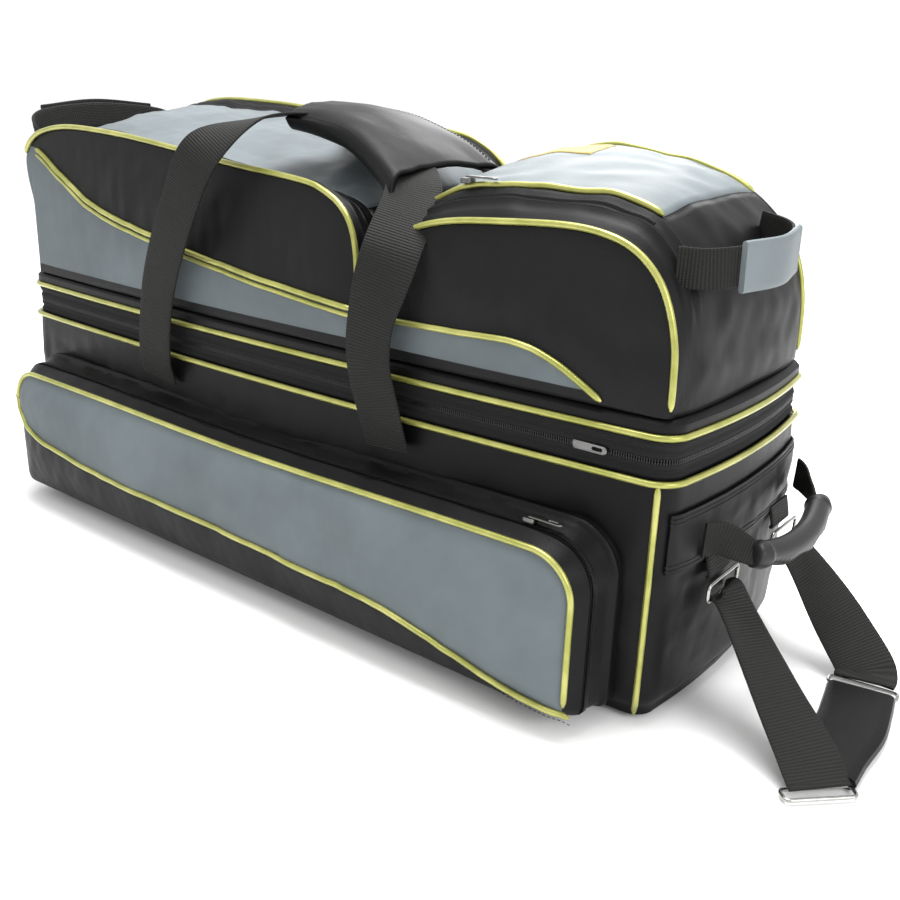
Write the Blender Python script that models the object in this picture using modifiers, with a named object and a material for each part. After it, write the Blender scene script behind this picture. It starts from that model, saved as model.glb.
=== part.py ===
"""Rolling three-ball bowling bag, as separate pieces.

Frame: metres, +Z up, +X towards the pull-strap end, -Y towards the front pocket.
The origin is on the floor under the middle of the bag.
"""
import math

import bmesh
import bpy
from mathutils import Vector

# ---- driving dimensions -------------------------------------------------------------
HALF_LENGTH = 0.430        # lower compartment, half of its length
HALF_DEPTH = 0.125         # lower compartment, half of its depth at the corners
CORNER_RADIUS = 0.040
FRONT_BOW = 0.020          # how far the long front bulges at its middle
REAR_BOW = 0.008
END_BOW = 0.008
GAP = 0.0003               # clearance between pieces that touch
WALL = 0.006               # foam-backed fabric wall

RAIL_TOP = 0.0080
TRAY_TOP = 0.0125
WALL_BASE = TRAY_TOP + GAP
LOWER_TOP = 0.2130         # top of the ball compartment, where the zip starts
ZIP_SPLIT = 0.2290         # height at which the two halves of the main zip meet
LID_BASE = 0.2475          # underside of the lid's floor board
LID_TOP = 0.2625           # top of the lid's floor board
PIPING_RADIUS = 0.0025
TAPE_WALL = 0.004

BALL_RADIUS = 0.109        # a regulation ball is 218 mm across

WHEEL_RADIUS = 0.045
WHEEL_X = -0.385
WHEEL_Y = 0.100
WHEEL_WIDTH = 0.026
AXLE_RADIUS = 0.004
HOUSING_INNER_X = -0.332
HOUSING_TOP = 0.104

WEBBING_WIDTH = 0.050
WEBBING_THICKNESS = 0.003

FLAP_HALF_WIDTH = 0.085    # the top flaps of both upper compartments
RIGHT_FLAP = (0.166, 0.378)    # its free end, then its fold
LEFT_FLAP = (-0.372, -0.112)   # its free end, then its fold beside the carry handles

POCKET_BACK_Y = -0.100     # the pocket's side wall starts inside the bowed front wall
POCKET_SEAM_Y = -0.187
POCKET_FRONT_Y = -0.199
STRAP_PIVOT = (0.4490, 0.1194)

COLOURS = {
    "black_nylon": ((0.012, 0.012, 0.013), 0.75, 0.0),
    "slate_fabric": ((0.17, 0.20, 0.21), 0.70, 0.0),
    "lining": ((0.03, 0.03, 0.032), 0.85, 0.0),
    "piping": ((0.45, 0.44, 0.16), 0.35, 0.3),
    "webbing": ((0.018, 0.018, 0.017), 0.80, 0.0),
    "moulded_plastic": ((0.02, 0.02, 0.02), 0.45, 0.0),
    "skid_plastic": ((0.015, 0.015, 0.015), 0.40, 0.0),
    "foam": ((0.06, 0.06, 0.065), 0.95, 0.0),
    "tyre": ((0.02, 0.02, 0.02), 0.65, 0.0),
    "hub": ((0.35, 0.36, 0.37), 0.45, 0.0),
    "steel": ((0.60, 0.60, 0.60), 0.30, 1.0),
    "nickel": ((0.72, 0.72, 0.70), 0.18, 1.0),
    "zip_tape": ((0.010, 0.010, 0.011), 0.85, 0.0),
    "grip_rubber": ((0.02, 0.02, 0.02), 0.60, 0.0),
}


# ---- scene --------------------------------------------------------------------------
def clear_scene():
    for obj in list(bpy.data.objects):
        bpy.data.objects.remove(obj, do_unlink=True)


def new_collection(name):
    collection = bpy.data.collections.new(name)
    bpy.context.scene.collection.children.link(collection)
    return collection


def make_materials():
    made = {}
    for name, (colour, roughness, metallic) in COLOURS.items():
        material = bpy.data.materials.new(name)
        material.use_nodes = True
        shader = material.node_tree.nodes["Principled BSDF"]
        shader.inputs["Base Color"].default_value = (*colour, 1.0)
        shader.inputs["Roughness"].default_value = roughness
        shader.inputs["Metallic"].default_value = metallic
        made[name] = material
    return made


clear_scene()
BAG = new_collection("rolling_bowling_bag")
CUTTERS = new_collection("cutters")
MATERIALS = make_materials()


def add_object(name, mesh, material, place=(0, 0, 0), smooth_angle=40.0):
    obj = bpy.data.objects.new(name, mesh)
    obj.location = place
    mesh.materials.append(MATERIALS[material])
    mesh.shade_smooth()
    mesh.set_sharp_from_angle(angle=math.radians(smooth_angle))
    BAG.objects.link(obj)
    return obj


def as_cutter(obj):
    BAG.objects.unlink(obj)
    CUTTERS.objects.link(obj)
    obj.hide_render = True
    obj.display_type = "WIRE"
    return obj


def boolean(obj, other, operation="DIFFERENCE"):
    modifier = obj.modifiers.new(operation.lower(), "BOOLEAN")
    modifier.operation = operation
    modifier.solver = "EXACT"
    modifier.object = other


def bevel(obj, width, segments=2, angle=40.0):
    modifier = obj.modifiers.new("bevel", "BEVEL")
    modifier.width = width
    modifier.segments = segments
    modifier.limit_method = "ANGLE"
    modifier.angle_limit = math.radians(angle)


# ---- outlines -----------------------------------------------------------------------
def arc(centre_a, centre_b, radius, start, end, steps):
    """Points on an arc, angles in degrees."""
    angles = [math.radians(start + (end - start) * i / steps) for i in range(steps + 1)]
    return [(centre_a + radius * math.cos(a), centre_b + radius * math.sin(a)) for a in angles]


def plan(inset=0.0, side_steps=9):
    """Plan of the bag at one height: a rounded rectangle whose sides bow outwards."""
    half_x, half_y = HALF_LENGTH - inset, HALF_DEPTH - inset
    radius = CORNER_RADIUS - inset
    flat_x, flat_y = half_x - radius, half_y - radius
    spread = [i / side_steps * 2 - 1 for i in range(1, side_steps)]
    points = arc(-flat_x, -flat_y, radius, 180, 270, 4)
    points += [(t * flat_x, -half_y - FRONT_BOW * (1 - t * t)) for t in spread]
    points += arc(flat_x, -flat_y, radius, 270, 360, 4)
    points += [(half_x + END_BOW * (1 - t * t), t * flat_y) for t in spread[1::2]]
    points += arc(flat_x, flat_y, radius, 0, 90, 4)
    points += [(-t * flat_x, half_y + REAR_BOW * (1 - t * t)) for t in spread]
    points += arc(-flat_x, flat_y, radius, 90, 180, 4)
    points += [(-half_x - END_BOW * (1 - t * t), -t * flat_y) for t in spread[1::2]]
    return points


def prism(name, outline, low, high, material, along="Z"):
    """A flat outline pushed along one axis, from low to high."""
    place = {"Z": lambda a, b, h: (a, b, h),
             "Y": lambda a, b, h: (a, h, b),
             "X": lambda a, b, h: (h, a, b)}[along]
    mesh = bpy.data.meshes.new(name)
    work = bmesh.new()
    face = work.faces.new([work.verts.new(place(a, b, low)) for a, b in outline])
    pushed = bmesh.ops.extrude_face_region(work, geom=[face])
    step = Vector(place(0, 0, high)) - Vector(place(0, 0, low))
    moved = [item for item in pushed["geom"] if isinstance(item, bmesh.types.BMVert)]
    bmesh.ops.translate(work, verts=moved, vec=step)
    bmesh.ops.recalc_face_normals(work, faces=work.faces)
    work.to_mesh(mesh)
    work.free()
    return add_object(name, mesh, material)


def box(name, low, high, material):
    """A box from its lowest to its highest corner."""
    size = [b - a for a, b in zip(low, high)]
    centre = [(a + b) / 2 for a, b in zip(low, high)]
    mesh = bpy.data.meshes.new(name)
    work = bmesh.new()
    bmesh.ops.create_cube(work, size=1.0)
    bmesh.ops.scale(work, vec=size, verts=work.verts)
    bmesh.ops.translate(work, vec=centre, verts=work.verts)
    work.to_mesh(mesh)
    work.free()
    return add_object(name, mesh, material)


def cylinder(name, centre, radius, length, material, steps=24):
    """A cylinder along Y."""
    mesh = bpy.data.meshes.new(name)
    work = bmesh.new()
    bmesh.ops.create_cone(work, cap_ends=True, segments=steps, radius1=radius,
                          radius2=radius, depth=length)
    bmesh.ops.rotate(work, verts=work.verts, cent=(0, 0, 0),
                     matrix=Vector((0, 0, 1)).rotation_difference(Vector((0, 1, 0))).to_matrix())
    work.to_mesh(mesh)
    work.free()
    return add_object(name, mesh, material, centre)


def turned(name, profile, centre, material, steps=24):
    """A closed profile of (radius, height along Y) turned about an axis along Y."""
    mesh = bpy.data.meshes.new(name)
    work = bmesh.new()
    ring = [work.verts.new((radius, 0, height)) for radius, height in profile]
    for i, vert in enumerate(ring):
        work.edges.new((vert, ring[(i + 1) % len(ring)]))
    work.to_mesh(mesh)
    work.free()
    obj = add_object(name, mesh, material, centre)
    obj.rotation_euler = (math.radians(-90), 0, 0)
    screw = obj.modifiers.new("screw", "SCREW")
    screw.steps = steps
    screw.render_steps = steps
    screw.use_merge_vertices = True
    screw.merge_threshold = 0.00001
    return obj


def tube(name, points, radius, material, closed=False, resolution=1):
    """A round cord along a list of points."""
    curve = bpy.data.curves.new(name, "CURVE")
    curve.dimensions = "3D"
    curve.bevel_depth = radius
    curve.bevel_resolution = resolution
    curve.use_fill_caps = not closed
    spline = curve.splines.new("POLY")
    spline.points.add(len(points) - 1)
    for point, place in zip(spline.points, points):
        point.co = (*place, 1.0)
    spline.use_cyclic_u = closed
    obj = bpy.data.objects.new(name, curve)
    curve.materials.append(MATERIALS[material])
    BAG.objects.link(obj)
    return obj


def smooth_path(points, steps):
    """Catmull-Rom curve through the points, with a number of steps between each two."""
    points = [Vector(point) for point in points]
    ends = [2 * points[0] - points[1]] + points + [2 * points[-1] - points[-2]]
    path = []
    for i in range(len(points) - 1):
        a, b, c, d = ends[i:i + 4]
        for j in range(steps):
            t = j / steps
            path.append(0.5 * (2 * b + (c - a) * t + (2 * a - 5 * b + 4 * c - d) * t * t
                               + (3 * b - a - 3 * c + d) * t ** 3))
    return path + [points[-1]]


def webbing(name, route, width, thickness, material, steps=4):
    """A flat strap: route is (point, direction across the strap) at each turn."""
    path = smooth_path([point for point, _ in route], steps)
    across = smooth_path([side for _, side in route], steps)
    mesh = bpy.data.meshes.new(name)
    work = bmesh.new()
    rows = []
    for place, side in zip(path, across):
        half = side.normalized() * (width / 2)
        rows.append((work.verts.new(place - half), work.verts.new(place + half)))
    for (a, b), (c, d) in zip(rows, rows[1:]):
        work.faces.new((a, b, d, c))
    work.to_mesh(mesh)
    work.free()
    obj = add_object(name, mesh, material)
    solid = obj.modifiers.new("thickness", "SOLIDIFY")
    solid.thickness = thickness
    solid.offset = 0
    return obj


def frame_loop(name, centre, size, wire, along="X", turn=0.0):
    """A rectangular loop of wire seen along X or Z, turned by an angle in degrees."""
    half_w, half_h = size[0] / 2, size[1] / 2
    outer = [(-half_w, -half_h), (half_w, -half_h), (half_w, half_h), (-half_w, half_h)]
    inner = [(a - math.copysign(wire, a), b - math.copysign(wire, b)) for a, b in outer]
    x, y, z = centre
    (shift_a, shift_b), middle = ((y, z), x) if along == "X" else ((x, y), z)
    c, s = math.cos(math.radians(turn)), math.sin(math.radians(turn))

    def placed(ring):
        return [(shift_a + a * c - b * s, shift_b + a * s + b * c) for a, b in ring]

    low, high = middle - wire / 2, middle + wire / 2
    loop = prism(name, placed(outer), low, high, "nickel", along)
    hole = prism(name + "_hole", placed(inner), low - wire, high + wire, "nickel", along)
    boolean(loop, as_cutter(hole))
    return loop


# ---- lower compartment --------------------------------------------------------------
def ring_wall(name, inset, wall, low, high, material):
    """A wall that follows the plan all the way round."""
    outer = prism(name, plan(inset), low, high, material)
    inner = prism(name + "_inside", plan(inset + wall), low - 0.01, high + 0.01, material)
    boolean(outer, as_cutter(inner))
    return outer


def piping_ring(name, inset, height):
    centre_inset = inset - PIPING_RADIUS - GAP
    points = [(x, y, height) for x, y in plan(centre_inset)]
    return tube(name, points, PIPING_RADIUS, "piping", closed=True)


def make_base():
    """Skid rails, tray and the open-topped ball compartment."""
    for name, y in (("front", -0.085), ("centre", 0.0), ("rear", 0.085)):
        rail = box(f"skid_rail_{name}", (-0.315, y - 0.011, 0), (0.405, y + 0.011, RAIL_TOP),
                   "skid_plastic")
        bevel(rail, 0.003, 1)
    tray = prism("base_tray", plan(0.004), RAIL_TOP + GAP, TRAY_TOP, "moulded_plastic")
    tray_cut = box("tray_cut", (-0.5, -0.2, -0.1), (HOUSING_INNER_X + GAP, 0.2, 0.1), "lining")
    boolean(tray, as_cutter(tray_cut))

    shell = prism("ball_compartment_shell", plan(), WALL_BASE, LOWER_TOP, "black_nylon")
    hollow = prism("ball_hollow", plan(WALL), WALL_BASE + WALL, LOWER_TOP + 0.02, "lining")
    notch = box("wheel_notch", (-0.5, -0.2, -0.1),
                (HOUSING_INNER_X + GAP, 0.2, HOUSING_TOP + GAP), "lining")
    boolean(shell, as_cutter(hollow))
    boolean(shell, as_cutter(notch))

    piping_ring("lower_piping", 0.0, LOWER_TOP - 0.0005)
    ring_wall("main_zip_lower_tape", 0.003, TAPE_WALL, LOWER_TOP + GAP, ZIP_SPLIT - GAP / 2,
              "zip_tape")


def make_ball_bays():
    """Three foam cups with padded dividers between them."""
    first, last = HOUSING_INNER_X + 0.006, HALF_LENGTH - WALL - 0.003
    divider = 0.012
    bay = (last - first - 2 * divider) / 3
    floor = WALL_BASE + WALL + GAP
    for i, name in enumerate(("left", "middle", "right")):
        centre = first + bay / 2 + i * (bay + divider)
        cup = box(f"ball_cup_{name}", (centre - 0.105, -0.108, floor),
                  (centre + 0.105, 0.108, 0.060), "foam")
        mesh = bpy.data.meshes.new(f"ball_{name}")
        work = bmesh.new()
        bmesh.ops.create_uvsphere(work, u_segments=24, v_segments=14,
                                  radius=BALL_RADIUS + 0.001)
        work.to_mesh(mesh)
        work.free()
        ball = add_object(f"ball_{name}", mesh, "foam",
                          (centre, 0, floor + 0.006 + BALL_RADIUS + 0.001))
        boolean(cup, as_cutter(ball))
        if i:
            x = centre - bay / 2 - divider
            board = box(f"ball_divider_{('left', 'right')[i - 1]}", (x, -0.113, floor),
                        (x + divider, 0.113, 0.190), "lining")
            bevel(board, 0.004, 2)


def make_end_band():
    """The sewn band round the pull end: it starts on the front and ends on the rear."""
    radius = CORNER_RADIUS + 0.002
    flat_x, flat_y = HALF_LENGTH + 0.002 - radius, HALF_DEPTH + 0.002 - radius
    front = arc(flat_x, -flat_y, radius, 308, 360, 4)
    middle = [(HALF_LENGTH + 0.002 + END_BOW * (1 - t * t), t * flat_y)
              for t in (-0.6, -0.3, 0, 0.3, 0.6)]
    rear = arc(flat_x, flat_y, radius, 0, 80, 5)
    route = [((x, y, 0.163), (0, 0, 1)) for x, y in front + middle + rear]
    webbing("end_band", route, 0.050, 0.0025, "black_nylon", steps=1)


# ---- wheels -------------------------------------------------------------------------
def make_wheels():
    """Two wheels on one steel axle in a moulded housing at the bottom of the far end."""
    housing = prism("wheel_housing", plan(), WALL_BASE, HOUSING_TOP, "moulded_plastic")
    inner_cut = box("housing_cut", (HOUSING_INNER_X, -0.2, -0.1), (0.5, 0.2, 0.2), "lining")
    boolean(housing, as_cutter(inner_cut))
    cavity = box("housing_cavity", (-0.425, -0.074, -0.1), (-0.345, 0.074, 0.095), "lining")
    boolean(housing, as_cutter(cavity))
    bore = cylinder("axle_bore", (WHEEL_X, 0, WHEEL_RADIUS), AXLE_RADIUS + GAP, 0.244, "steel")
    boolean(housing, as_cutter(bore))
    cylinder("wheel_axle", (WHEEL_X, 0, WHEEL_RADIUS), AXLE_RADIUS, 0.240, "steel", 20)

    half = WHEEL_WIDTH / 2
    tyre = [(WHEEL_RADIUS - 0.004, half), (WHEEL_RADIUS, half - 0.004),
            (WHEEL_RADIUS, 0.004 - half), (WHEEL_RADIUS - 0.004, -half),
            (0.0333, -half), (0.0333, half)]
    hub = [(0.033, half - 0.001), (0.033, 0.001 - half), (0.028, 0.001 - half),
           (0.026, -0.005), (0.0135, -0.005), (0.0135, -half), (0.0108, -half),
           (0.0108, half), (0.0135, half), (0.0135, 0.005), (0.026, 0.005),
           (0.028, half - 0.001)]
    bearing = [(0.0105, half), (0.0105, -half), (AXLE_RADIUS + 0.0003, -half),
               (AXLE_RADIUS + 0.0003, half)]
    for name, y in (("front", -WHEEL_Y), ("rear", WHEEL_Y)):
        centre = (WHEEL_X, y, WHEEL_RADIUS)
        well = cylinder(f"well_{name}", centre, WHEEL_RADIUS + 0.004, 0.034, "lining", 32)
        slot = box(f"well_slot_{name}", (-0.5, y - 0.017, -0.1),
                   (WHEEL_X + WHEEL_RADIUS + 0.004, y + 0.017, WHEEL_RADIUS), "lining")
        boolean(housing, as_cutter(well))
        boolean(housing, as_cutter(slot))
        turned(f"wheel_{name}_tyre", tyre, centre, "tyre")
        turned(f"wheel_{name}_hub", hub, centre, "hub", 20)
        turned(f"wheel_{name}_bearing", bearing, centre, "steel", 20)


# ---- front pocket -------------------------------------------------------------------
def pocket_outline(inset=0.0):
    """Front view of the pocket: rounded at the top corners, straight at the bottom."""
    left, right, top, bottom = -0.400 + inset, 0.405 - inset, 0.172 - inset, 0.014
    radius = 0.042
    points = [(left, bottom), (left, top - radius)]
    points += arc(left + radius, top - radius, radius, 160, 90, 4)
    points += arc(right - radius, top - radius, radius, 90, 20, 4)
    points += [(right, top - radius), (right, bottom)]
    return points


def loft(name, rings, material):
    """Closed skin over a row of rings with the same number of points, capped at both ends."""
    mesh = bpy.data.meshes.new(name)
    work = bmesh.new()
    loops = [[work.verts.new(point) for point in ring] for ring in rings]
    count = len(loops[0])
    for low, high in zip(loops, loops[1:]):
        for i in range(count):
            j = (i + 1) % count
            work.faces.new((low[i], low[j], high[j], high[i]))
    work.faces.new(loops[0])
    work.faces.new(loops[-1])
    bmesh.ops.recalc_face_normals(work, faces=work.faces)
    work.to_mesh(mesh)
    work.free()
    return add_object(name, mesh, material)


def make_front_pocket():
    """A tapered side wall sewn to the front, closed by a padded panel."""
    def ring(y, inset):
        return [(x, y, z) for x, z in pocket_outline(inset)]

    gusset = loft("pocket_gusset", [ring(POCKET_BACK_Y, -0.004), ring(-0.145, 0.0),
                                    ring(POCKET_SEAM_Y + GAP, 0.014)], "black_nylon")
    wall = 0.005
    hollow = loft("pocket_hollow", [ring(POCKET_BACK_Y - 0.02, wall - 0.0035),
                                    ring(-0.145, wall), ring(POCKET_SEAM_Y - 0.01, 0.0215)],
                  "lining")
    for vert in hollow.data.vertices:
        if vert.co.z < 0.02:
            vert.co.z += wall
    boolean(gusset, as_cutter(hollow))
    body = prism("pocket_body_cut", plan(-GAP), -0.1, 0.4, "lining")
    boolean(gusset, as_cutter(body))

    panel = loft("pocket_panel", [ring(POCKET_SEAM_Y, 0.014), ring(-0.193, 0.015),
                                  ring(POCKET_FRONT_Y, 0.024)], "slate_fabric")
    return panel


# ---- lid and the upper compartments -------------------------------------------------
class Unit:
    """One upper compartment: a soft box with rounded ends and a crowned top."""

    def __init__(self, left, right, front_top, rear_top, crown, left_radius, right_radius):
        self.left, self.right = left, right
        self.front_top, self.rear_top, self.crown = front_top, rear_top, crown
        self.left_radius, self.right_radius = left_radius, right_radius
        self.base = LID_TOP + GAP
        self.half_depth = 0.118
        self.shoulder = 0.030
        self.plan_radius = 0.024

    def stations(self, shrink):
        """Places along X, with how far the top drops and the sides draw in at each."""
        places = []
        for turn in (0, 22.5, 45, 67.5, 90):
            places.append((self.left + self.left_radius * (1 - math.sin(math.radians(turn))),
                           self.left_radius * (1 - math.cos(math.radians(turn)))))
        places.reverse()
        middle = [self.left + self.left_radius
                  + (self.right - self.right_radius - self.left - self.left_radius) * t
                  for t in (1 / 3, 2 / 3)]
        places += [(x, 0.0) for x in middle]
        for turn in (0, 22.5, 45, 67.5, 90):
            places.append((self.right - self.right_radius * (1 - math.sin(math.radians(turn))),
                           self.right_radius * (1 - math.cos(math.radians(turn)))))
        rows = []
        for x, drop in places:
            edge = min(x - self.left, self.right - x)
            reach = max(self.plan_radius - edge, 0.0)
            narrow = self.plan_radius - math.sqrt(max(self.plan_radius ** 2 - reach ** 2, 0.0))
            middle_x = (self.left + self.right) / 2
            scale = 1 - 2 * shrink / (self.right - self.left)
            rows.append((middle_x + (x - middle_x) * scale, drop, narrow))
        return rows

    def section(self, x, drop, narrow, shrink):
        """Rounded shoulders and a crowned top, in the plane across the bag."""
        half = self.half_depth - narrow - shrink
        base = self.base + shrink
        front, rear = self.front_top - drop - shrink, self.rear_top - drop - shrink
        radius = self.shoulder - shrink
        points = [(x, -half, base), (x, -half, (base + front - radius) / 2)]
        points += [(x, y, z) for y, z in arc(-half + radius, front - radius, radius, 180, 90, 3)]
        flat = half - radius
        for t in (-0.5, 0.0, 0.5):
            rise = front + (rear - front) * (t + 1) / 2 + self.crown * (1 - t * t)
            points.append((x, t * flat, rise))
        points += [(x, y, z) for y, z in arc(half - radius, rear - radius, radius, 90, 0, 3)]
        points += [(x, half, (base + rear - radius) / 2), (x, half, base)]
        return points

    def skin(self, name, shrink, material):
        rings = [self.section(x, drop, narrow, shrink)
                 for x, drop, narrow in self.stations(shrink)]
        return loft(name, rings, material)


LEFT_UNIT = Unit(-0.424, 0.117, 0.417, 0.430, 0.012, 0.034, 0.062)
RIGHT_UNIT = Unit(0.134, 0.426, 0.411, 0.427, 0.012, 0.055, 0.062)


def make_compartment(side, unit, flap_from, flap_to):
    """A hollow compartment, with its top cut free as a flap."""
    wall = 0.005
    shell = unit.skin(f"{side}_compartment_shell", 0.0, "black_nylon")
    inside = as_cutter(unit.skin(f"{side}_inside", wall, "lining"))
    boolean(shell, inside)
    mouth = box(f"{side}_mouth", (flap_from, -FLAP_HALF_WIDTH, 0.33),
                (flap_to, FLAP_HALF_WIDTH, 0.6), "lining")
    boolean(shell, as_cutter(mouth))

    flap = unit.skin(f"{side}_top_flap", 0.0, "slate_fabric")
    boolean(flap, inside)
    slack = 0.0006
    keep = box(f"{side}_flap_keep", (flap_from + slack, -FLAP_HALF_WIDTH + slack, 0.33),
               (flap_to - slack, FLAP_HALF_WIDTH - slack, 0.6), "lining")
    boolean(flap, as_cutter(keep), "INTERSECT")


def make_lid():
    ring_wall("main_zip_upper_tape", 0.003, TAPE_WALL, ZIP_SPLIT + GAP / 2, LID_BASE - GAP,
              "zip_tape")
    prism("lid_floor_board", plan(0.002), LID_BASE, LID_TOP, "black_nylon")
    piping_ring("upper_piping", 0.002, LID_BASE + 0.001)
    make_compartment("left", LEFT_UNIT, *LEFT_FLAP)
    make_compartment("right", RIGHT_UNIT, *RIGHT_FLAP)


def make_loop_handles():
    """A webbing loop with a fabric sleeve at each end of the lid."""
    up = (0, 0, 1)
    right = [((0.4290, -0.102, 0.352), up), ((0.440, -0.085, 0.358), up),
             ((0.452, -0.045, 0.362), up), ((0.440, 0.000, 0.360), up),
             ((0.4290, 0.020, 0.352), up)]
    tilt = (-0.15, 0, 1)
    left = [((-0.4265, -0.088, 0.385), up), ((-0.444, -0.072, 0.405), tilt),
            ((-0.452, 0.0, 0.420), tilt), ((-0.444, 0.072, 0.405), tilt),
            ((-0.4265, 0.088, 0.385), up)]
    for side, route in (("left", left), ("right", right)):
        outwards = Vector((math.copysign(1, route[2][0][0]), 0, 0))
        webbing(f"loop_handle_{side}_band", route, 0.034, 0.003, "webbing", steps=3)
        sleeve_route = [(Vector(point) + outwards * 0.0058, across)
                        for point, across in route[1:-1]]
        webbing(f"loop_handle_{side}_sleeve", sleeve_route, 0.038, 0.0035, "slate_fabric",
                steps=4)


# ---- carry handles ------------------------------------------------------------------
def carry_route(front):
    """Where a carry handle's webbing runs, and which way is across it, at each turn."""
    sign = -1 if front else 1
    wall_y = 0.160 if front else 0.147
    crest_y = 0.150 if front else 0.142
    top_y = -0.052 if front else 0.004
    top_z = 0.459 if front else 0.452
    along, lean, back = (1, 0, 0), (0.92, 0, -0.40), (0, sign, 0)
    return [((-0.160, sign * wall_y, 0.218), along),
            ((-0.145, sign * (wall_y + 0.002), 0.290), lean),
            ((-0.105, sign * (wall_y + 0.002), 0.370), lean),
            ((-0.080, sign * crest_y, 0.425), lean),
            ((-0.050, (sign * crest_y + top_y) / 2, top_z - 0.004), (0.7, 0.7 * sign, 0)),
            ((-0.004, top_y, top_z), back),
            ((0.034, top_y, top_z), back),
            ((0.072, top_y, top_z), back),
            ((0.114, (sign * crest_y + top_y) / 2, top_z - 0.010), (-0.7, 0.7 * sign, 0)),
            ((0.146, sign * crest_y, 0.412), (-0.85, 0, -0.50)),
            ((0.158, sign * (wall_y + 0.002), 0.350), (-1, 0, -0.15)),
            ((0.150, sign * (wall_y + 0.002), 0.285), (-1, 0, 0)),
            ((0.162, sign * wall_y, 0.218), (-1, 0, 0))]


def make_carry_handles():
    for name, front in (("front", True), ("rear", False)):
        route = carry_route(front)
        webbing(f"{name}_handle_strap", route, WEBBING_WIDTH, WEBBING_THICKNESS, "webbing")
    hook = [(-0.084, 0.4525), (-0.030, 0.4525), (-0.030, 0.4555), (-0.081, 0.4555),
            (-0.081, 0.4640), (0.032, 0.4640), (0.032, 0.4670), (-0.084, 0.4670)]
    prism("grip_wrap", hook, 0.000, 0.068, "black_nylon", "X")


# ---- zip sliders --------------------------------------------------------------------
def zip_slider(name, place, outwards, length=0.011, width=0.009, height=0.0045):
    """A slider body and its pull: the pull lies along +X from the body, off the tape."""
    x, y, z = place
    slack = 0.0006
    if outwards == "Z":
        body = box(f"{name}_slider", (x - length / 2, y - width / 2, z),
                   (x + length / 2, y + width / 2, z + height), "nickel")
        low, high = z + height + slack, z + height + slack + 0.0016
        outline = [(a + x, b + y) for a, b in pull_outline()]
        prism(f"{name}_pull", outline, low, high, "nickel", "Z")
    else:
        body = box(f"{name}_slider", (x - length / 2, y - height, z - width / 2),
                   (x + length / 2, y, z + width / 2), "nickel")
        low, high = y - height - slack - 0.0016, y - height - slack
        outline = [(a + x, b + z) for a, b in pull_outline()]
        prism(f"{name}_pull", outline, low, high, "nickel", "Y")
    bevel(body, 0.0012, 1)


def pull_outline(length=0.030, half=0.0035):
    """A narrow tab with a round end."""
    inner = -0.0008
    return [(inner, -half)] + arc(length - half, 0, half, -90, 90, 5) + [(inner, half)]


def make_zip_sliders():
    zip_slider("main_zip", (0.345, -0.1280, ZIP_SPLIT), "Y")
    zip_slider("pocket_zip", (0.330, -0.166, 0.1675), "Z")
    zip_slider("right_flap_zip", (0.200, -0.0905, 0.4120), "Z")
    zip_slider("left_flap_zip", (-0.330, -0.0905, 0.4180), "Z")


# ---- pull end -----------------------------------------------------------------------
def make_end_handle():
    """A webbing handle with a moulded grip, hanging out from the end band."""
    upright, leaning, flat = (0, 0, 1), (-0.45, 0.1, 1), (-0.75, 0, 0.8)
    for name, y, grip_y in (("front", -0.070, -0.052), ("rear", 0.106, 0.088)):
        route = [((0.4490, y, 0.157), upright),
                 ((0.4600, (y + grip_y) / 2, 0.151), leaning),
                 ((0.4735, grip_y, 0.143), flat)]
        webbing(f"end_handle_webbing_{name}", route, 0.030, 0.003, "webbing")
    points = smooth_path([(0.4740, -0.0475, 0.143), (0.481, -0.015, 0.1385),
                          (0.4835, 0.018, 0.137), (0.481, 0.051, 0.1385),
                          (0.4740, 0.0835, 0.143)], 4)
    tube("end_handle_grip", points, 0.0110, "grip_rubber", resolution=3)


def make_pull_strap():
    """Two ring tabs, two rings, and a webbing strap with a padded grip and two buckles."""
    pivot_x, pivot_z = STRAP_PIVOT
    wire = 0.0032
    for name, y in (("front", -0.055), ("rear", 0.077)):
        box(f"ring_tab_{name}", (0.4405, y - 0.020, pivot_z + 0.0030),
            (0.4455, y + 0.020, pivot_z + 0.0175), "webbing")
        frame_loop(f"pull_ring_{name}", (pivot_x, y, pivot_z - 0.009 + wire / 2),
                   (0.060, 0.018), wire)
    level, slant, skew = (0, 1, 0), (0.35, 0.9, 0), (0.70, 0.70, 0)
    front = [((0.4545, -0.055, 0.1070), level), ((0.474, -0.063, 0.087), level),
             ((0.518, -0.086, 0.047), slant), ((0.556, -0.109, 0.020), skew)]
    rear = [((0.4545, 0.077, 0.1070), level), ((0.476, 0.077, 0.085), (0.2, 1, 0.1)),
            ((0.515, 0.073, 0.042), (0.75, 0.65, 0.1)), ((0.5450, 0.0585, 0.010), (1, 0.2, 0))]
    webbing("pull_strap_front", front, WEBBING_WIDTH, WEBBING_THICKNESS, "webbing")
    webbing("pull_strap_rear", rear, WEBBING_WIDTH, WEBBING_THICKNESS, "webbing")
    pad = [((0.5585, -0.096, 0.0068), (0.85, 0.53, 0)), ((0.5600, -0.03, 0.0068), (1, 0.15, 0)),
           ((0.5500, 0.030, 0.0068), (1, 0.12, 0))]
    webbing("pull_strap_pad", pad, 0.056, 0.0115, "grip_rubber")
    frame_loop("pull_buckle_lower", (0.5675, -0.1205, 0.0040), (0.060, 0.016), wire, "Z", 45)
    frame_loop("pull_buckle_upper", (0.5485, 0.0425, 0.0060), (0.060, 0.016), wire, "Z", 7)


def main():
    make_base()
    make_ball_bays()
    make_end_band()
    make_wheels()
    make_front_pocket()
    make_lid()
    make_loop_handles()
    make_carry_handles()
    make_zip_sliders()
    make_end_handle()
    make_pull_strap()


main()
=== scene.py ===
"""Looks of the rolling bowling bag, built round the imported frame. Metres, +Z up, -Y to the front."""
import math

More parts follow.
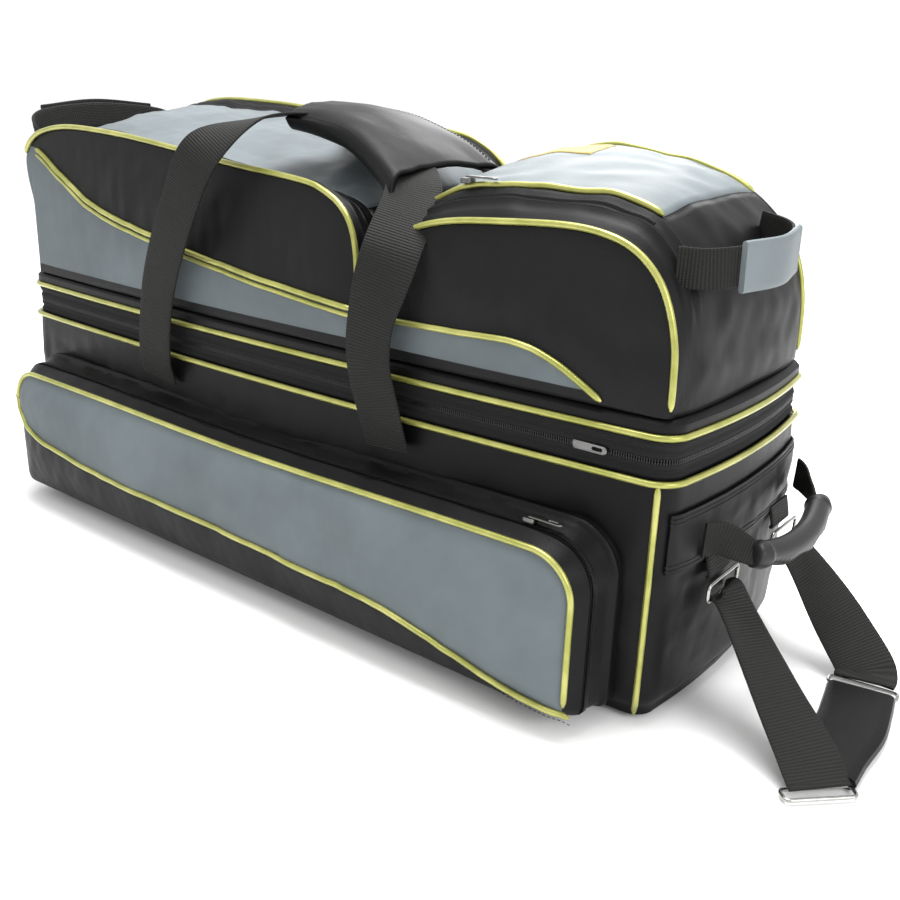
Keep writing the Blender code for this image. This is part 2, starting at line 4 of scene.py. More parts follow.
import bmesh
import bpy
import numpy as np
from mathutils import Matrix, Vector


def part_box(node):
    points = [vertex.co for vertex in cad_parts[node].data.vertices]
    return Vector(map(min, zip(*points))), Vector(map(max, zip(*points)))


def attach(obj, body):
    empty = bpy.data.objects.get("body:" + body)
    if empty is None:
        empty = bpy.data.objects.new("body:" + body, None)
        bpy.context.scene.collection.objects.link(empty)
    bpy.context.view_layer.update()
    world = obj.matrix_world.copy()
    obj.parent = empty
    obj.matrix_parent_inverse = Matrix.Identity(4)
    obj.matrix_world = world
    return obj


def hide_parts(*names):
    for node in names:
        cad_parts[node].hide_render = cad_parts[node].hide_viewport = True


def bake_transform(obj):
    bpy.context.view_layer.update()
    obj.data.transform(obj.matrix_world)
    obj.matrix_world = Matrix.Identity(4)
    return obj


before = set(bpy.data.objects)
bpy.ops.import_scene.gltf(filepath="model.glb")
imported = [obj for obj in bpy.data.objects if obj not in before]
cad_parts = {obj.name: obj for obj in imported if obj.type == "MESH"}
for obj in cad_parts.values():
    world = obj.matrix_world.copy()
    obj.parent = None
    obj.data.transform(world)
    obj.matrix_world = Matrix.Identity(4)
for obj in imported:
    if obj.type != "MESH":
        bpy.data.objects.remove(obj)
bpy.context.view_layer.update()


def box_of(node):
    """Lowest and highest corner of a frame node."""
    return tuple(np.array(corner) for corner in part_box(node))


# ---- driving sizes, read from the frame -----------------------------------------------
SHELL_LOW, SHELL_HIGH = box_of("ball_compartment_shell")
BOARD_LOW, BOARD_HIGH = box_of("lid_floor_board")
HOUSING_HIGH = box_of("wheel_housing")[1]
END_BOW, FRONT_BOW, REAR_BOW = 0.008, 0.013, 0.004
HALF_LENGTH = SHELL_HIGH[0] - END_BOW
HALF_DEPTH = SHELL_HIGH[1] - 0.001      # the corners are fuller than the plain frame's
CORNER_RADIUS = 0.024
HEM_Z = 0.0055
FABRIC_WALL = 0.0055           # outer cloth, foam and lining together
FLOOR_Z, LOWER_TOP = SHELL_LOW[2], SHELL_HIGH[2]
LID_BASE, LID_TOP = BOARD_LOW[2], BOARD_HIGH[2]
ZIP_SPLIT = 0.229
PIPING = 0.0027
RING_STEPS = 420
RING_PITCH = 0.0053           # metres of cloth between two points of the plan ring
WEB_WIDTH, WEB_THICKNESS = 0.050, 0.0024


# ---- shader sums ----------------------------------------------------------------------
class Signal:
    """A shader socket that adds Math nodes when it is used in a sum."""

    def __init__(self, finish, socket):
        self.finish, self.socket = finish, socket

    def _math(self, operation, other, swapped=False):
        pair = (other, self) if swapped else (self, other)
        return self.finish.add("ShaderNodeMath", {"operation": operation}, *pair)

    def __add__(self, other):
        return self._math("ADD", other)

    def __mul__(self, other):
        return self._math("MULTIPLY", other)

    def __sub__(self, other):
        return self._math("SUBTRACT", other)

    def __rsub__(self, other):
        return self._math("SUBTRACT", other, swapped=True)

    def __pow__(self, other):
        return self._math("POWER", other)

    __radd__ = __add__
    __rmul__ = __mul__

    def wave(self):
        """A sine of this value, from 0 to 1."""
        return self.finish.add("ShaderNodeMath", {"operation": "SINE"}, self) * 0.5 + 0.5

    def step(self, low, high):
        """0 below low, 1 above high, smooth between them."""
        settings = {"interpolation_type": "SMOOTHSTEP"}
        return self.finish.add("ShaderNodeMapRange", settings, self, low, high, 0.0, 1.0)


class Finish:
    """One material: a Principled shader, with the surface detail worked out as sums of signals."""

    def __init__(self, name, colour, roughness, metallic=0.0, **sockets):
        self.material = bpy.data.materials.new(name)
        self.material.use_nodes = True
        self.tree = self.material.node_tree
        self.shader = self.tree.nodes["Principled BSDF"]
        self.shader.inputs["Base Color"].default_value = (*colour, 1.0)
        self.shader.inputs["Roughness"].default_value = roughness
        self.shader.inputs["Metallic"].default_value = metallic
        for socket, value in sockets.items():
            self.shader.inputs[socket.replace("_", " ")].default_value = value

    def add(self, kind, settings=None, *values, output=0):
        node = self.tree.nodes.new(kind)
        for key, value in (settings or {}).items():
            setattr(node, key, value)
        for socket, value in zip(node.inputs, values):
            if isinstance(value, Signal):
                self.tree.links.new(value.socket, socket)
            elif value is not None:
                socket.default_value = value
        return Signal(self, node.outputs[output])

    def place(self):
        return self.add("ShaderNodeTexCoord", output=3)

    def cloth(self):
        """Metres across and along the cloth, as two signals."""
        both = self.add("ShaderNodeUVMap", {"uv_map": "cloth"})
        split = self.tree.nodes.new("ShaderNodeSeparateXYZ")
        self.tree.links.new(both.socket, split.inputs[0])
        return Signal(self, split.outputs[0]), Signal(self, split.outputs[1])

    def noise(self, scale, detail=3.0, roughness=0.5, stretch=None):
        place = self.place()
        if stretch:
            node = self.tree.nodes.new("ShaderNodeMapping")
            node.inputs["Scale"].default_value = stretch
            self.tree.links.new(place.socket, node.inputs[0])
            place = Signal(self, node.outputs[0])
        node = self.tree.nodes.new("ShaderNodeTexNoise")
        node.inputs["Scale"].default_value = scale
        node.inputs["Detail"].default_value = detail
        node.inputs["Roughness"].default_value = roughness
        self.tree.links.new(place.socket, node.inputs["Vector"])
        return Signal(self, node.outputs["Fac"])

    def blend(self, factor, first, second):
        """Mixes two colours; either can be a signal."""
        node = self.tree.nodes.new("ShaderNodeMix")
        node.data_type = "RGBA"
        for socket, value in zip((node.inputs[0], node.inputs[6], node.inputs[7]),
                                 (factor, first, second)):
            if isinstance(value, Signal):
                self.tree.links.new(value.socket, socket)
            else:
                socket.default_value = value if not isinstance(value, tuple) else (*value, 1.0)
        return Signal(self, node.outputs[2])

    def set(self, socket, value):
        self.tree.links.new(value.socket, self.shader.inputs[socket])

    def relief(self, height, strength, distance=0.001):
        """Bump from one height signal in units of distance."""
        node = self.tree.nodes.new("ShaderNodeBump")
        node.inputs["Strength"].default_value = strength
        node.inputs["Distance"].default_value = distance
        self.tree.links.new(height.socket, node.inputs["Height"])
        self.tree.links.new(node.outputs[0], self.shader.inputs["Normal"])


BLACK = (0.0038, 0.0038, 0.0042)
SLATE = (0.108, 0.128, 0.137)


def twill(finish):
    """Diagonal threads: a wave that runs across both cloth directions."""
    across, along = finish.cloth()
    thread_pitch = 0.0011
    turn = 2 * math.pi / thread_pitch
    diagonal = ((across + along) * turn).wave()
    thread = ((across - along) * (turn * 0.5)).wave()
    return diagonal * 0.7 + thread * 0.3


def nylon_relief(finish):
    """Gives a finish creases over twill; returns its cloudy wear and its weave."""
    cloud = finish.noise(9.0, 4.0, 0.6)
    crease = finish.noise(34.0, 5.0, 0.62, (1.0, 1.0, 0.6))
    weave = twill(finish)
    finish.relief(crease * 1.0 + weave * 0.10, 0.35, 0.0016)
    return cloud, weave


def nylon(name, colour, roughness, gloss):
    """Coated pack nylon: fine twill, soft creases and an uneven, slightly rubbed sheen."""
    finish = Finish(name, colour, roughness, Specular_IOR_Level=gloss)
    cloud, weave = nylon_relief(finish)
    darker = tuple(0.82 * c for c in colour)
    lighter = tuple(1.16 * c for c in colour)
    tint = finish.blend(cloud.step(0.3, 0.7), darker, lighter)
    finish.set("Base Color", finish.blend(weave * 0.25, tint, lighter))
    finish.set("Roughness", roughness - 0.08 + cloud * 0.16 + weave * 0.05)
    return finish.material


def two_tone(name):
    """Black and slate nylon sewn edge to edge: the mesh's tone attribute says which is which."""
    finish = Finish(name, SLATE, 0.5, Specular_IOR_Level=0.16)
    tone = finish.add("ShaderNodeAttribute", {"attribute_name": "tone"}, output=2)
    cloud, weave = nylon_relief(finish)
    slate = finish.blend(cloud.step(0.25, 0.75), tuple(0.86 * c for c in SLATE),
                         tuple(1.14 * c for c in SLATE))
    black = finish.blend(cloud.step(0.25, 0.75), tuple(0.7 * c for c in BLACK),
                         tuple(1.5 * c for c in BLACK))
    edge = tone.step(-0.0004, 0.0004)
    mixed = finish.blend(edge, black, slate)
    finish.set("Base Color", finish.blend(weave * 0.02, mixed, (0.10, 0.11, 0.115)))
    finish.set("Roughness", 0.44 + edge * 0.10 + cloud * 0.10 + weave * 0.04)
    return finish.material


def webbing_finish(name, colour):
    """Ribbed nylon webbing: cross ribs along its length, finer lines near its selvedges."""
    finish = Finish(name, colour, 0.62, Specular_IOR_Level=0.14)
    across, along = finish.cloth()
    rib = (along * (2 * math.pi / 0.0026)).wave()
    cord = (across * (2 * math.pi / 0.0019)).wave()
    wear = finish.noise(14.0, 4.0, 0.6)
    bright = tuple(2.6 * c for c in colour)
    finish.set("Base Color", finish.blend(rib * 0.55 + wear * 0.25, colour, bright))
    finish.set("Roughness", 0.52 + wear * 0.18)
    finish.relief(rib * 0.8 + cord * 0.35, 0.55, 0.0010)
    return finish.material


def grained(name, colour, roughness, scale=900.0, strength=0.25):
    """Moulded plastic: fine spark grain, with scuffs that change its gloss."""
    finish = Finish(name, colour, roughness, Specular_IOR_Level=0.35)
    grain = finish.noise(scale, 2.0, 0.5)
    scuff = finish.noise(26.0, 6.0, 0.7)
    finish.set("Base Color", finish.blend(scuff.step(0.55, 0.8) * 0.5, colour,
                                          tuple(c * 1.8 + 0.01 for c in colour)))
    finish.set("Roughness", roughness - 0.06 + scuff * 0.18)
    finish.relief(grain, strength, 0.0004)
    return finish.material


def metal(name, colour, roughness, stretch=None):
    """Plated or brushed metal with faint wear in its gloss."""
    finish = Finish(name, colour, roughness, 1.0)
    wear = finish.noise(60.0, 5.0, 0.65, stretch)
    finish.set("Base Color", finish.blend(wear.step(0.4, 0.8), colour,
                                          tuple(0.82 * c for c in colour)))
    finish.set("Roughness", roughness - 0.05 + wear * 0.16)
    finish.relief(wear, 0.06, 0.0003)
    return finish.material


def piping_finish(name):
    """Metallic vinyl piping in olive gold, with fine diagonal wrap lines and dull patches."""
    colour = (0.34, 0.34, 0.08)
    finish = Finish(name, colour, 0.30, 0.55, Coat_Weight=0.25, Coat_Roughness=0.2)
    across, along = finish.cloth()
    wrap = ((along + across * 0.5) * (2 * math.pi / 0.0022)).wave()
    wear = finish.noise(24.0, 4.0, 0.6)
    finish.set("Base Color", finish.blend(wear.step(0.3, 0.75), (0.26, 0.27, 0.050),
                                          (0.44, 0.43, 0.130)))
    finish.set("Roughness", 0.24 + wear * 0.18)
    finish.relief(wrap * 0.5 + wear, 0.18, 0.0004)
    return finish.material


def mesh_tape_finish(name):
    """Knitted zip tape: fine vertical wales crossed by courses."""
    finish = Finish(name, (0.008, 0.008, 0.009), 0.8, Specular_IOR_Level=0.2)
    across, along = finish.cloth()
    wale = (across * (2 * math.pi / 0.0016)).wave()
    course = (along * (2 * math.pi / 0.0012)).wave()
    finish.set("Base Color", finish.blend(wale * 0.6, (0.0045, 0.0045, 0.005), (0.016, 0.016, 0.0165)))
    finish.relief(wale * 0.7 + course * 0.4, 0.5, 0.0006)
    return finish.material


def felt_finish(name, colour):
    """Brushed lining or foam: no gloss, a fibrous mottled surface."""
    finish = Finish(name, colour, 0.92, Specular_IOR_Level=0.15)
    fibre = finish.noise(420.0, 4.0, 0.7)
    cloud = finish.noise(18.0, 4.0, 0.6)
    finish.set("Base Color", finish.blend(fibre * 0.5 + cloud * 0.4, tuple(0.7 * c for c in colour),
                                          tuple(1.6 * c for c in colour)))
    finish.relief(fibre, 0.5, 0.0006)
    return finish.material


def embroidery(name, colour):
    """Close rows of gold thread: satin stitches lying across the patch."""
    finish = Finish(name, colour, 0.45, 0.15)
    across, along = finish.cloth()
    rows = (along * (2 * math.pi / 0.0009)).wave()
    blocks = (across * (2 * math.pi / 0.0060)).wave()
    finish.set("Base Color", finish.blend(rows * 0.6 + blocks * 0.2,
                                          tuple(0.6 * c for c in colour), colour))
    finish.relief(rows + blocks * 0.5, 0.6, 0.0005)
    return finish.material


BLACK_NYLON = nylon("coated_black_nylon", BLACK, 0.40, 0.12)
SLATE_NYLON = nylon("coated_slate_nylon", SLATE, 0.46, 0.50)
TWO_TONE = two_tone("two_tone_nylon")
WEBBING = webbing_finish("black_webbing", (0.0075, 0.0075, 0.0070))
PIPING_VINYL = piping_finish("gold_piping")
ZIP_TAPE = mesh_tape_finish("knitted_zip_tape")
LINING = felt_finish("brushed_lining", (0.030, 0.031, 0.034))
FOAM = felt_finish("ball_cup_felt", (0.050, 0.052, 0.056))
MOULDED = grained("grained_plastic", (0.008, 0.008, 0.0085), 0.42)
SKID = grained("skid_runner_plastic", (0.008, 0.008, 0.008), 0.40, 500.0)
ZIP_COIL = grained("zip_coil", (0.010, 0.010, 0.0105), 0.35, 1500.0, 0.1)
GRIP = grained("handle_rubber", (0.008, 0.008, 0.0085), 0.42, 700.0, 0.3)
TREAD = grained("tread", (0.022, 0.022, 0.023), 0.62, 600.0, 0.4)
HUB = grained("hub_plastic", (0.30, 0.31, 0.32), 0.42, 800.0)
STEEL = metal("bright_steel", (0.46, 0.46, 0.455), 0.30, (1.0, 0.06, 1.0))
NICKEL = metal("nickel_plate", (0.36, 0.355, 0.34), 0.22)
GUNMETAL = metal("gunmetal_plate", (0.15, 0.148, 0.145), 0.28)
THREAD = felt_finish("thread", (0.020, 0.020, 0.021))
BADGE = embroidery("plain_badge", (0.40, 0.30, 0.06))


# ---- surfaces -------------------------------------------------------------------------
def grid_faces(rows, columns, wrap_rows=False, wrap_columns=False):
    """Quads between neighbouring points of a rows by columns grid."""
    row, column = np.meshgrid(np.arange(rows if wrap_rows else rows - 1),
                              np.arange(columns if wrap_columns else columns - 1), indexing="ij")
    below, beside = (row + 1) % rows, (column + 1) % columns
    corners = [row * columns + column, below * columns + column,
               below * columns + beside, row * columns + beside]
    return np.stack(corners, -1).reshape(-1, 4)


def capped_rings(rows, columns):
    """Faces round a stack of closed rings, with one face over each end."""
    last = (rows - 1) * columns
    return (grid_faces(rows, columns, False, True).tolist()
            + [list(range(columns)), list(range(last, last + columns))])


def grid_rim(rows, columns):
    """Indices of a grid's outer points, in order round it."""
    return np.r_[np.arange(rows) * columns, (rows - 1) * columns + np.arange(1, columns),
                 (np.arange(rows - 1) * columns + columns - 1)[::-1],
                 np.arange(1, columns - 1)[::-1]]


def spread(points, axis):
    """Distance walked along one direction of a grid of points."""
    steps = np.linalg.norm(np.diff(points, axis=axis), axis=-1)
    start = np.zeros_like(np.take(steps, [0], axis=axis))
    return np.concatenate([start, np.cumsum(steps, axis=axis)], axis=axis)


def make_piece(name, points, faces, material, body, cloth=None, tone=None, stands_for=(),
               closed=True, sharp=40.0):
    """A mesh piece that rides on a body.

    cloth holds metres across and along the piece at each point, and tone the metres from the
    point to the seam where black turns to slate.
    """
    mesh = bpy.data.meshes.new(name)
    faces = [tuple(face) for face in (faces.tolist() if hasattr(faces, "tolist") else faces)]
    mesh.from_pydata(np.asarray(points, float).reshape(-1, 3).tolist(), [], faces)
    if tone is not None:
        layer = mesh.attributes.new("tone", "FLOAT", "POINT")
        layer.data.foreach_set("value", np.asarray(tone, np.float32).ravel())
    if cloth is not None:
        corner = np.zeros(len(mesh.loops), np.int32)
        mesh.loops.foreach_get("vertex_index", corner)
        layer = mesh.uv_layers.new(name="cloth")
        layer.data.foreach_set("uv", np.asarray(cloth, np.float32).reshape(-1, 2)[corner].ravel())
    if closed:
        work = bmesh.new()
        work.from_mesh(mesh)
        bmesh.ops.recalc_face_normals(work, faces=work.faces)
        work.to_mesh(mesh)
        work.free()
    mesh.validate()
    mesh.shade_smooth()
    mesh.set_sharp_from_angle(angle=math.radians(sharp))
    mesh.materials.append(material)
    obj = bpy.data.objects.new(name, mesh)
    bpy.context.scene.collection.objects.link(obj)
    if body:
        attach(obj, body)
    if stands_for:
        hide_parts(*stands_for)
    return obj


def baked(obj):
    """Applies an object's modifiers to its mesh."""
    bpy.context.view_layer.update()
    seen = obj.evaluated_get(bpy.context.evaluated_depsgraph_get())
    finished = bpy.data.meshes.new_from_object(seen)
    obj.modifiers.clear()
    obj.data = finished
    return obj


def thickened(obj, wall, centre, lining=None):
    """Gives an open sheet a wall on the side towards centre, lined with another material."""
    mesh = obj.data
    away = sum((face.center - Vector(centre)).dot(face.normal) * face.area
               for face in mesh.polygons)
    if away < 0:
        mesh.flip_normals()
    if lining:
        mesh.materials.append(lining)
    solid = obj.modifiers.new("wall", "SOLIDIFY")
    solid.thickness = wall
    solid.offset = -1
    solid.material_offset = 1 if lining else 0
    return baked(obj)


def cloth_of(points):
    """Metres across and along a grid, from the walked distances."""
    return np.stack([spread(points, 1), spread(points, 0)], -1)


def ripple(points, scale, seed):
    """Smooth random relief from -1 to 1: a sum of sines with seeded directions and phases."""
    waves = 14
    draw = np.random.default_rng(seed)
    directions = draw.normal(size=(waves, 3)) * (2 * math.pi / scale)
    phase = draw.uniform(0, 2 * math.pi, waves)
    return np.sin(points @ directions.T + phase).sum(-1) / math.sqrt(waves) / 1.6


def ellipse(centre, radii, start, end, steps):
    """Points on a quarter or more of an ellipse, angles in degrees."""
    turn = np.radians(np.linspace(start, end, steps))
    return np.stack([centre[0] + radii[0] * np.cos(turn), centre[1] + radii[1] * np.sin(turn)], -1)


def walked_length(path):
    return np.concatenate([[0], np.cumsum(np.linalg.norm(np.diff(path, axis=0), axis=1))])


def even_path(path, spacing, closed=False):
    """The same line with points at even distances along it."""
    path = np.asarray(path, float)
    if closed:
        path = np.vstack([path, path[:1]])
    walked = walked_length(path)
    count = max(int(round(walked[-1] / spacing)), 2)
    wanted = np.linspace(0, walked[-1], count + 1)
    if closed:
        wanted = wanted[:-1]
    return np.stack([np.interp(wanted, walked, path[:, i]) for i in range(path.shape[1])], -1)


def even_ring(line, count):
    """A closed line as count points at even distances."""
    line = np.vstack([line, line[:1]])
    walked = walked_length(line)
    wanted = np.linspace(0, walked[-1], count, endpoint=False)
    return np.stack([np.interp(wanted, walked, line[:, i]) for i in (0, 1)], -1)


def smooth_path(points, steps=10):
    """Catmull-Rom curve through the points."""
    points = np.asarray(points, float)
    ends = np.vstack([2 * points[0] - points[1], points, 2 * points[-1] - points[-2]])
    t = np.linspace(0, 1, steps, endpoint=False)[:, None]
    spans = [0.5 * (2 * b + (c - a) * t + (2 * a - 5 * b + 4 * c - d) * t ** 2
                    + (3 * b - a - 3 * c + d) * t ** 3)
             for a, b, c, d in zip(ends, ends[1:], ends[2:], ends[3:])]
    return np.vstack(spans + [points[-1:]])


def unit(vectors):
    return vectors / np.maximum(np.linalg.norm(vectors, axis=-1, keepdims=True), 1e-12)


def tangents(path, closed=False):
    if closed:
        return unit(np.roll(path, -1, 0) - np.roll(path, 1, 0))
    return unit(np.gradient(path, axis=0))


def carried(path, profile, across, closed=False):
    """A profile carried along a path: its first number goes across, its second out of the face."""
    ahead = tangents(path, closed)
    side = across - (across * ahead).sum(-1, keepdims=True) * ahead
    side = unit(side)
    out = np.cross(ahead, side)
    profile = np.asarray(profile, float)
    if profile.ndim == 2:
        profile = np.broadcast_to(profile, (len(path),) + profile.shape)
    return (path[:, None] + side[:, None] * profile[..., :1] + out[:, None] * profile[..., 1:])


def solid_sweep(name, points, material, body, closed=False, **more):
    """Closes a carried profile into a solid: wrapped round, and capped unless it is a loop."""
    rows, columns = points.shape[:2]
    faces = grid_faces(rows, columns, True, True) if closed else capped_rings(rows, columns)
    cloth = np.stack([spread(points, 1), np.repeat(spread(points.mean(1)[:, None], 0), columns, 1)],
                     -1)
    return make_piece(name, points, faces, material, body, cloth=cloth, **more)


def any_across(path, closed=False):
    """A direction square to the path that changes as little as possible along it."""
    ahead = tangents(path, closed)
    side = np.zeros_like(ahead)
    guess = np.array([0.0, 0.0, 1.0]) if abs(ahead[0, 2]) < 0.8 else np.array([1.0, 0.0, 0.0])
    for i, way in enumerate(ahead):
        guess = guess - guess @ way * way
        guess = guess / np.linalg.norm(guess)
        side[i] = guess
    return side


def round_tube(name, path, radius, material, body, closed=False, sides=12, **more):
    """A round cord carried along a path; radius may change along it."""
    path = np.asarray(path, float)
    turn = np.linspace(0, 2 * math.pi, sides, endpoint=False)
    ring = np.stack([np.cos(turn), np.sin(turn)], -1)
    radii = np.broadcast_to(np.asarray(radius, float), (len(path),))
    profile = ring[None] * radii[:, None, None]
    points = carried(path, profile, any_across(path, closed), closed)
    return solid_sweep(name, points, material, body, closed, **more)


def piping_cord(name, path, body, closed=False, radius=PIPING, **more):
    """Piping: a round vinyl cord with round ends."""
    path = even_path(path, 0.0035, closed)
    if closed:
        return round_tube(name, path, radius, PIPING_VINYL, body, True, **more)
    size = np.full(len(path), radius)
    size[[0, -1]] *= 0.35
    size[[1, -2]] *= 0.85
    return round_tube(name, path, size, PIPING_VINYL, body, **more)


def strap_profile(width, thickness):
    """A flat strap's outline with softly rounded edges."""
    half, edge = width / 2, thickness / 2
    top = np.stack([np.linspace(-half + edge, half - edge, 10), np.full(10, edge)], -1)
    right = ellipse((half - edge, 0), (edge, edge), 90, -90, 5)[1:-1]
    left = ellipse((-half + edge, 0), (edge, edge), 270, 90, 5)[1:-1]
    return np.vstack([top, right, top[::-1] * (1, -1), left])


def strap(name, route, body, width=WEB_WIDTH, thickness=WEB_THICKNESS, material=None,
          steps=14, taper=0.0, **more):
    """Webbing along a route of (point, direction across it); taper narrows its far end."""
    points, sides = zip(*route)
    path, across = smooth_path(points, steps), unit(smooth_path(sides, steps))
    profile = strap_profile(width, thickness)[None]
    profile = profile * (1 - taper * np.linspace(0, 1, len(path))[:, None, None] ** 2 * (1, 0))
    return solid_sweep(name, carried(path, profile, across), material or WEBBING, body, **more)


def stitch_run(name, path, normals, body):
    """Sewing thread: one short six-sided stitch at each even step of a path."""
    pitch, length, radius = 0.0042, 0.0030, 0.00035
    both = even_path(np.hstack([path, np.broadcast_to(normals, path.shape)]), pitch)
    centre, out = both[:, :3], unit(both[:, 3:])
    ahead = tangents(centre)
    side = np.cross(out, ahead)
    turn = np.linspace(0, 2 * math.pi, 6, endpoint=False)
    rings = np.array([(-0.5, 0.25), (-0.32, 1.0), (0.32, 1.0), (0.5, 0.25)])
    size = rings[:, 1, None] * radius
    local = np.stack([np.repeat(rings[:, :1] * length, 6, 1), np.cos(turn) * size,
                      np.sin(turn) * size], -1)
    axes = np.stack([ahead, side, out], 1)
    points = centre[:, None, None] + np.einsum("rsk,nkc->nrsc", local, axes)
    faces = [[corner + 24 * i for corner in face] for i in range(len(centre))
             for face in capped_rings(4, 6)]
    return make_piece(name, points, faces, THREAD, body)


# ---- the bag's plan and walls ----------------------------------------------------------
def plan_ring(inset=0.0, count=RING_STEPS):
    """Plan at one height: quarter circles joined by sides that bow outwards as parabolas."""
    half_x, half_y = HALF_LENGTH - inset, HALF_DEPTH - inset
    radius = CORNER_RADIUS - inset
    flat_x, flat_y = half_x - radius, half_y - radius
    t = np.linspace(-1, 1, 60)
    bow = 1 - t * t
    corners = [ellipse((sx * flat_x, sy * flat_y), (radius, radius), start, start + 90, 24)
               for sx, sy, start in ((-1, -1, 180), (1, -1, 270), (1, 1, 0), (-1, 1, 90))]
    sides = [np.stack([t * flat_x, -half_y - FRONT_BOW * bow], -1),
             np.stack([half_x + END_BOW * bow, t * flat_y], -1),
             np.stack([-t * flat_x, half_y + REAR_BOW * bow], -1),
             np.stack([-half_x - END_BOW * bow, -t * flat_y], -1)]
    return even_ring(np.vstack([part for pair in zip(corners, sides) for part in pair]), count)


def ring_out(ring):
    """Outward direction at each point of a plan ring."""
    ahead = unit(np.roll(ring, -1, 0) - np.roll(ring, 1, 0))
    return np.stack([ahead[:, 1], -ahead[:, 0]], -1)


def body_points(ring, height, lift=0.0):
    """The ball compartment's wall: the plan pushed out by a soft billow and fine creases."""
    out = ring_out(ring)
    height = np.asarray(height, float)
    rise = (height - FLOOR_Z) / (LOWER_TOP - FLOOR_Z)
    flat = np.broadcast_to(ring, height.shape + (2,))
    place = np.concatenate([flat, height[..., None]], -1)
    calm = np.clip(np.sin(np.pi * np.clip(rise, 0, 1)), 0, 1)
    crease = ripple(place * (1, 1, 1.6), 0.085, 3) * 0.0016 + ripple(place, 0.034, 4) * 0.0006
    foot = 0.006 * np.clip(1 - rise / 0.05, 0, 1) ** 2
    push = calm * (0.0030 + crease) - foot + lift
    return np.concatenate([flat + out * push[..., None], height[..., None]], -1)


def wall_bottom(ring):
    """Where the fabric starts: the tray, and the top of the wheel housing at the wheel end."""
    near = np.clip((ring[:, 0] - HOUSING_HIGH[0] + 0.007) / 0.006, 0, 1)
    near = near * near * (3 - 2 * near)
    return (HOUSING_HIGH[2] - 0.0028) * (1 - near) + HEM_Z * near


def make_ball_compartment():
    """Outer fabric, then the rim and the lining going back down, as one closed skin."""
    ring = plan_ring()
    bottom = wall_bottom(ring)
    share = np.linspace(0, 1, 34)[:, None]
    outer = body_points(ring, bottom + (LOWER_TOP - bottom) * share)
    inner = outer[::-1].copy()
    inner[..., :2] -= ring_out(ring) * FABRIC_WALL
    inner[..., 2] = np.minimum(inner[..., 2], LOWER_TOP - 0.0008)
    points = np.vstack([outer, inner])
    rows, columns = points.shape[:2]
    faces = grid_faces(rows, columns, True, True)
    cloth = cloth_of(points)
    cloth[..., 0] = np.arange(columns) * RING_PITCH
    cloth[..., 1] = points[..., 2]
    make_piece("ball_compartment_fabric", points, faces, BLACK_NYLON, "case", cloth=cloth,
               stands_for=["ball_compartment_shell"])
    floor = plan_ring(0.007, 200)
    floor = floor[floor[:, 0] > HOUSING_HIGH[0] + 0.003]
    low, high = FLOOR_Z + 0.0004, FLOOR_Z + 0.0058
    points = np.vstack([np.c_[floor, np.full(len(floor), z)] for z in (low, high)])
    make_piece("ball_compartment_floor", points, capped_rings(2, len(floor)), LINING, "case",
               cloth=points[:, :2])


def make_body_piping():
    """Gold piping round both rims, and up the two corners at the pull end."""
    ring = plan_ring()
    low = body_points(ring, np.full((1, len(ring)), LOWER_TOP - 0.0005), 0.0022)[0]
    piping_cord("lower_rim_piping", low, "case", True, stands_for=["lower_piping"])
    upper = plan_ring(0.002)
    lifted = upper + ring_out(upper) * 0.0022
    rim = np.c_[lifted, np.full(len(upper), LID_BASE + 0.001)]
    piping_cord("upper_rim_piping", rim, "lid", True, stands_for=["upper_piping"])
    for name, corner_y in (("front", -1), ("rear", 1)):
        wanted = np.array([HALF_LENGTH, corner_y * HALF_DEPTH]) - CORNER_RADIUS * 0.29
        column = int(np.argmin(np.linalg.norm(ring - wanted, axis=1)))
        heights = np.linspace(HEM_Z + 0.001, LOWER_TOP - 0.002, 60)
        wall = body_points(ring, np.repeat(heights[:, None], len(ring), 1), 0.0012)
        piping_cord(f"corner_piping_{name}", wall[:, column], "case")


# ---- main zip --------------------------------------------------------------------------
def zip_teeth(name, path, across, body, row, closed=False):
    """One row of zip coil: a small lozenge at each even step, leaning over the joint."""
    path = even_path(path, 0.0021, closed)
    ahead = tangents(path, closed)
    side = unit(np.broadcast_to(across, path.shape))
    out = np.cross(ahead, side)
    size = np.array([0.00065, 0.0016, 0.0009])
    signs = np.array([(a, b, c) for a in (-1, 1) for b in (-1, 1) for c in (-1, 1)], float)
    taper = np.where(signs[:, 2:] > 0, 0.6, 1.0)
    local = signs * size * np.c_[taper, taper, np.ones((8, 1))]
    centre = path + side * (0.0011 * row)
    points = (centre[:, None] + ahead[:, None] * local[None, :, :1]
              + side[:, None] * local[None, :, 1:2] + out[:, None] * local[None, :, 2:])
    one = [(0, 1, 3, 2), (4, 6, 7, 5), (0, 4, 5, 1), (2, 3, 7, 6), (0, 2, 6, 4), (1, 5, 7, 3)]
    faces = np.array(one)[None] + 8 * np.arange(len(path))[:, None, None]
    return make_piece(name, points, faces.reshape(-1, 4), ZIP_COIL, body)


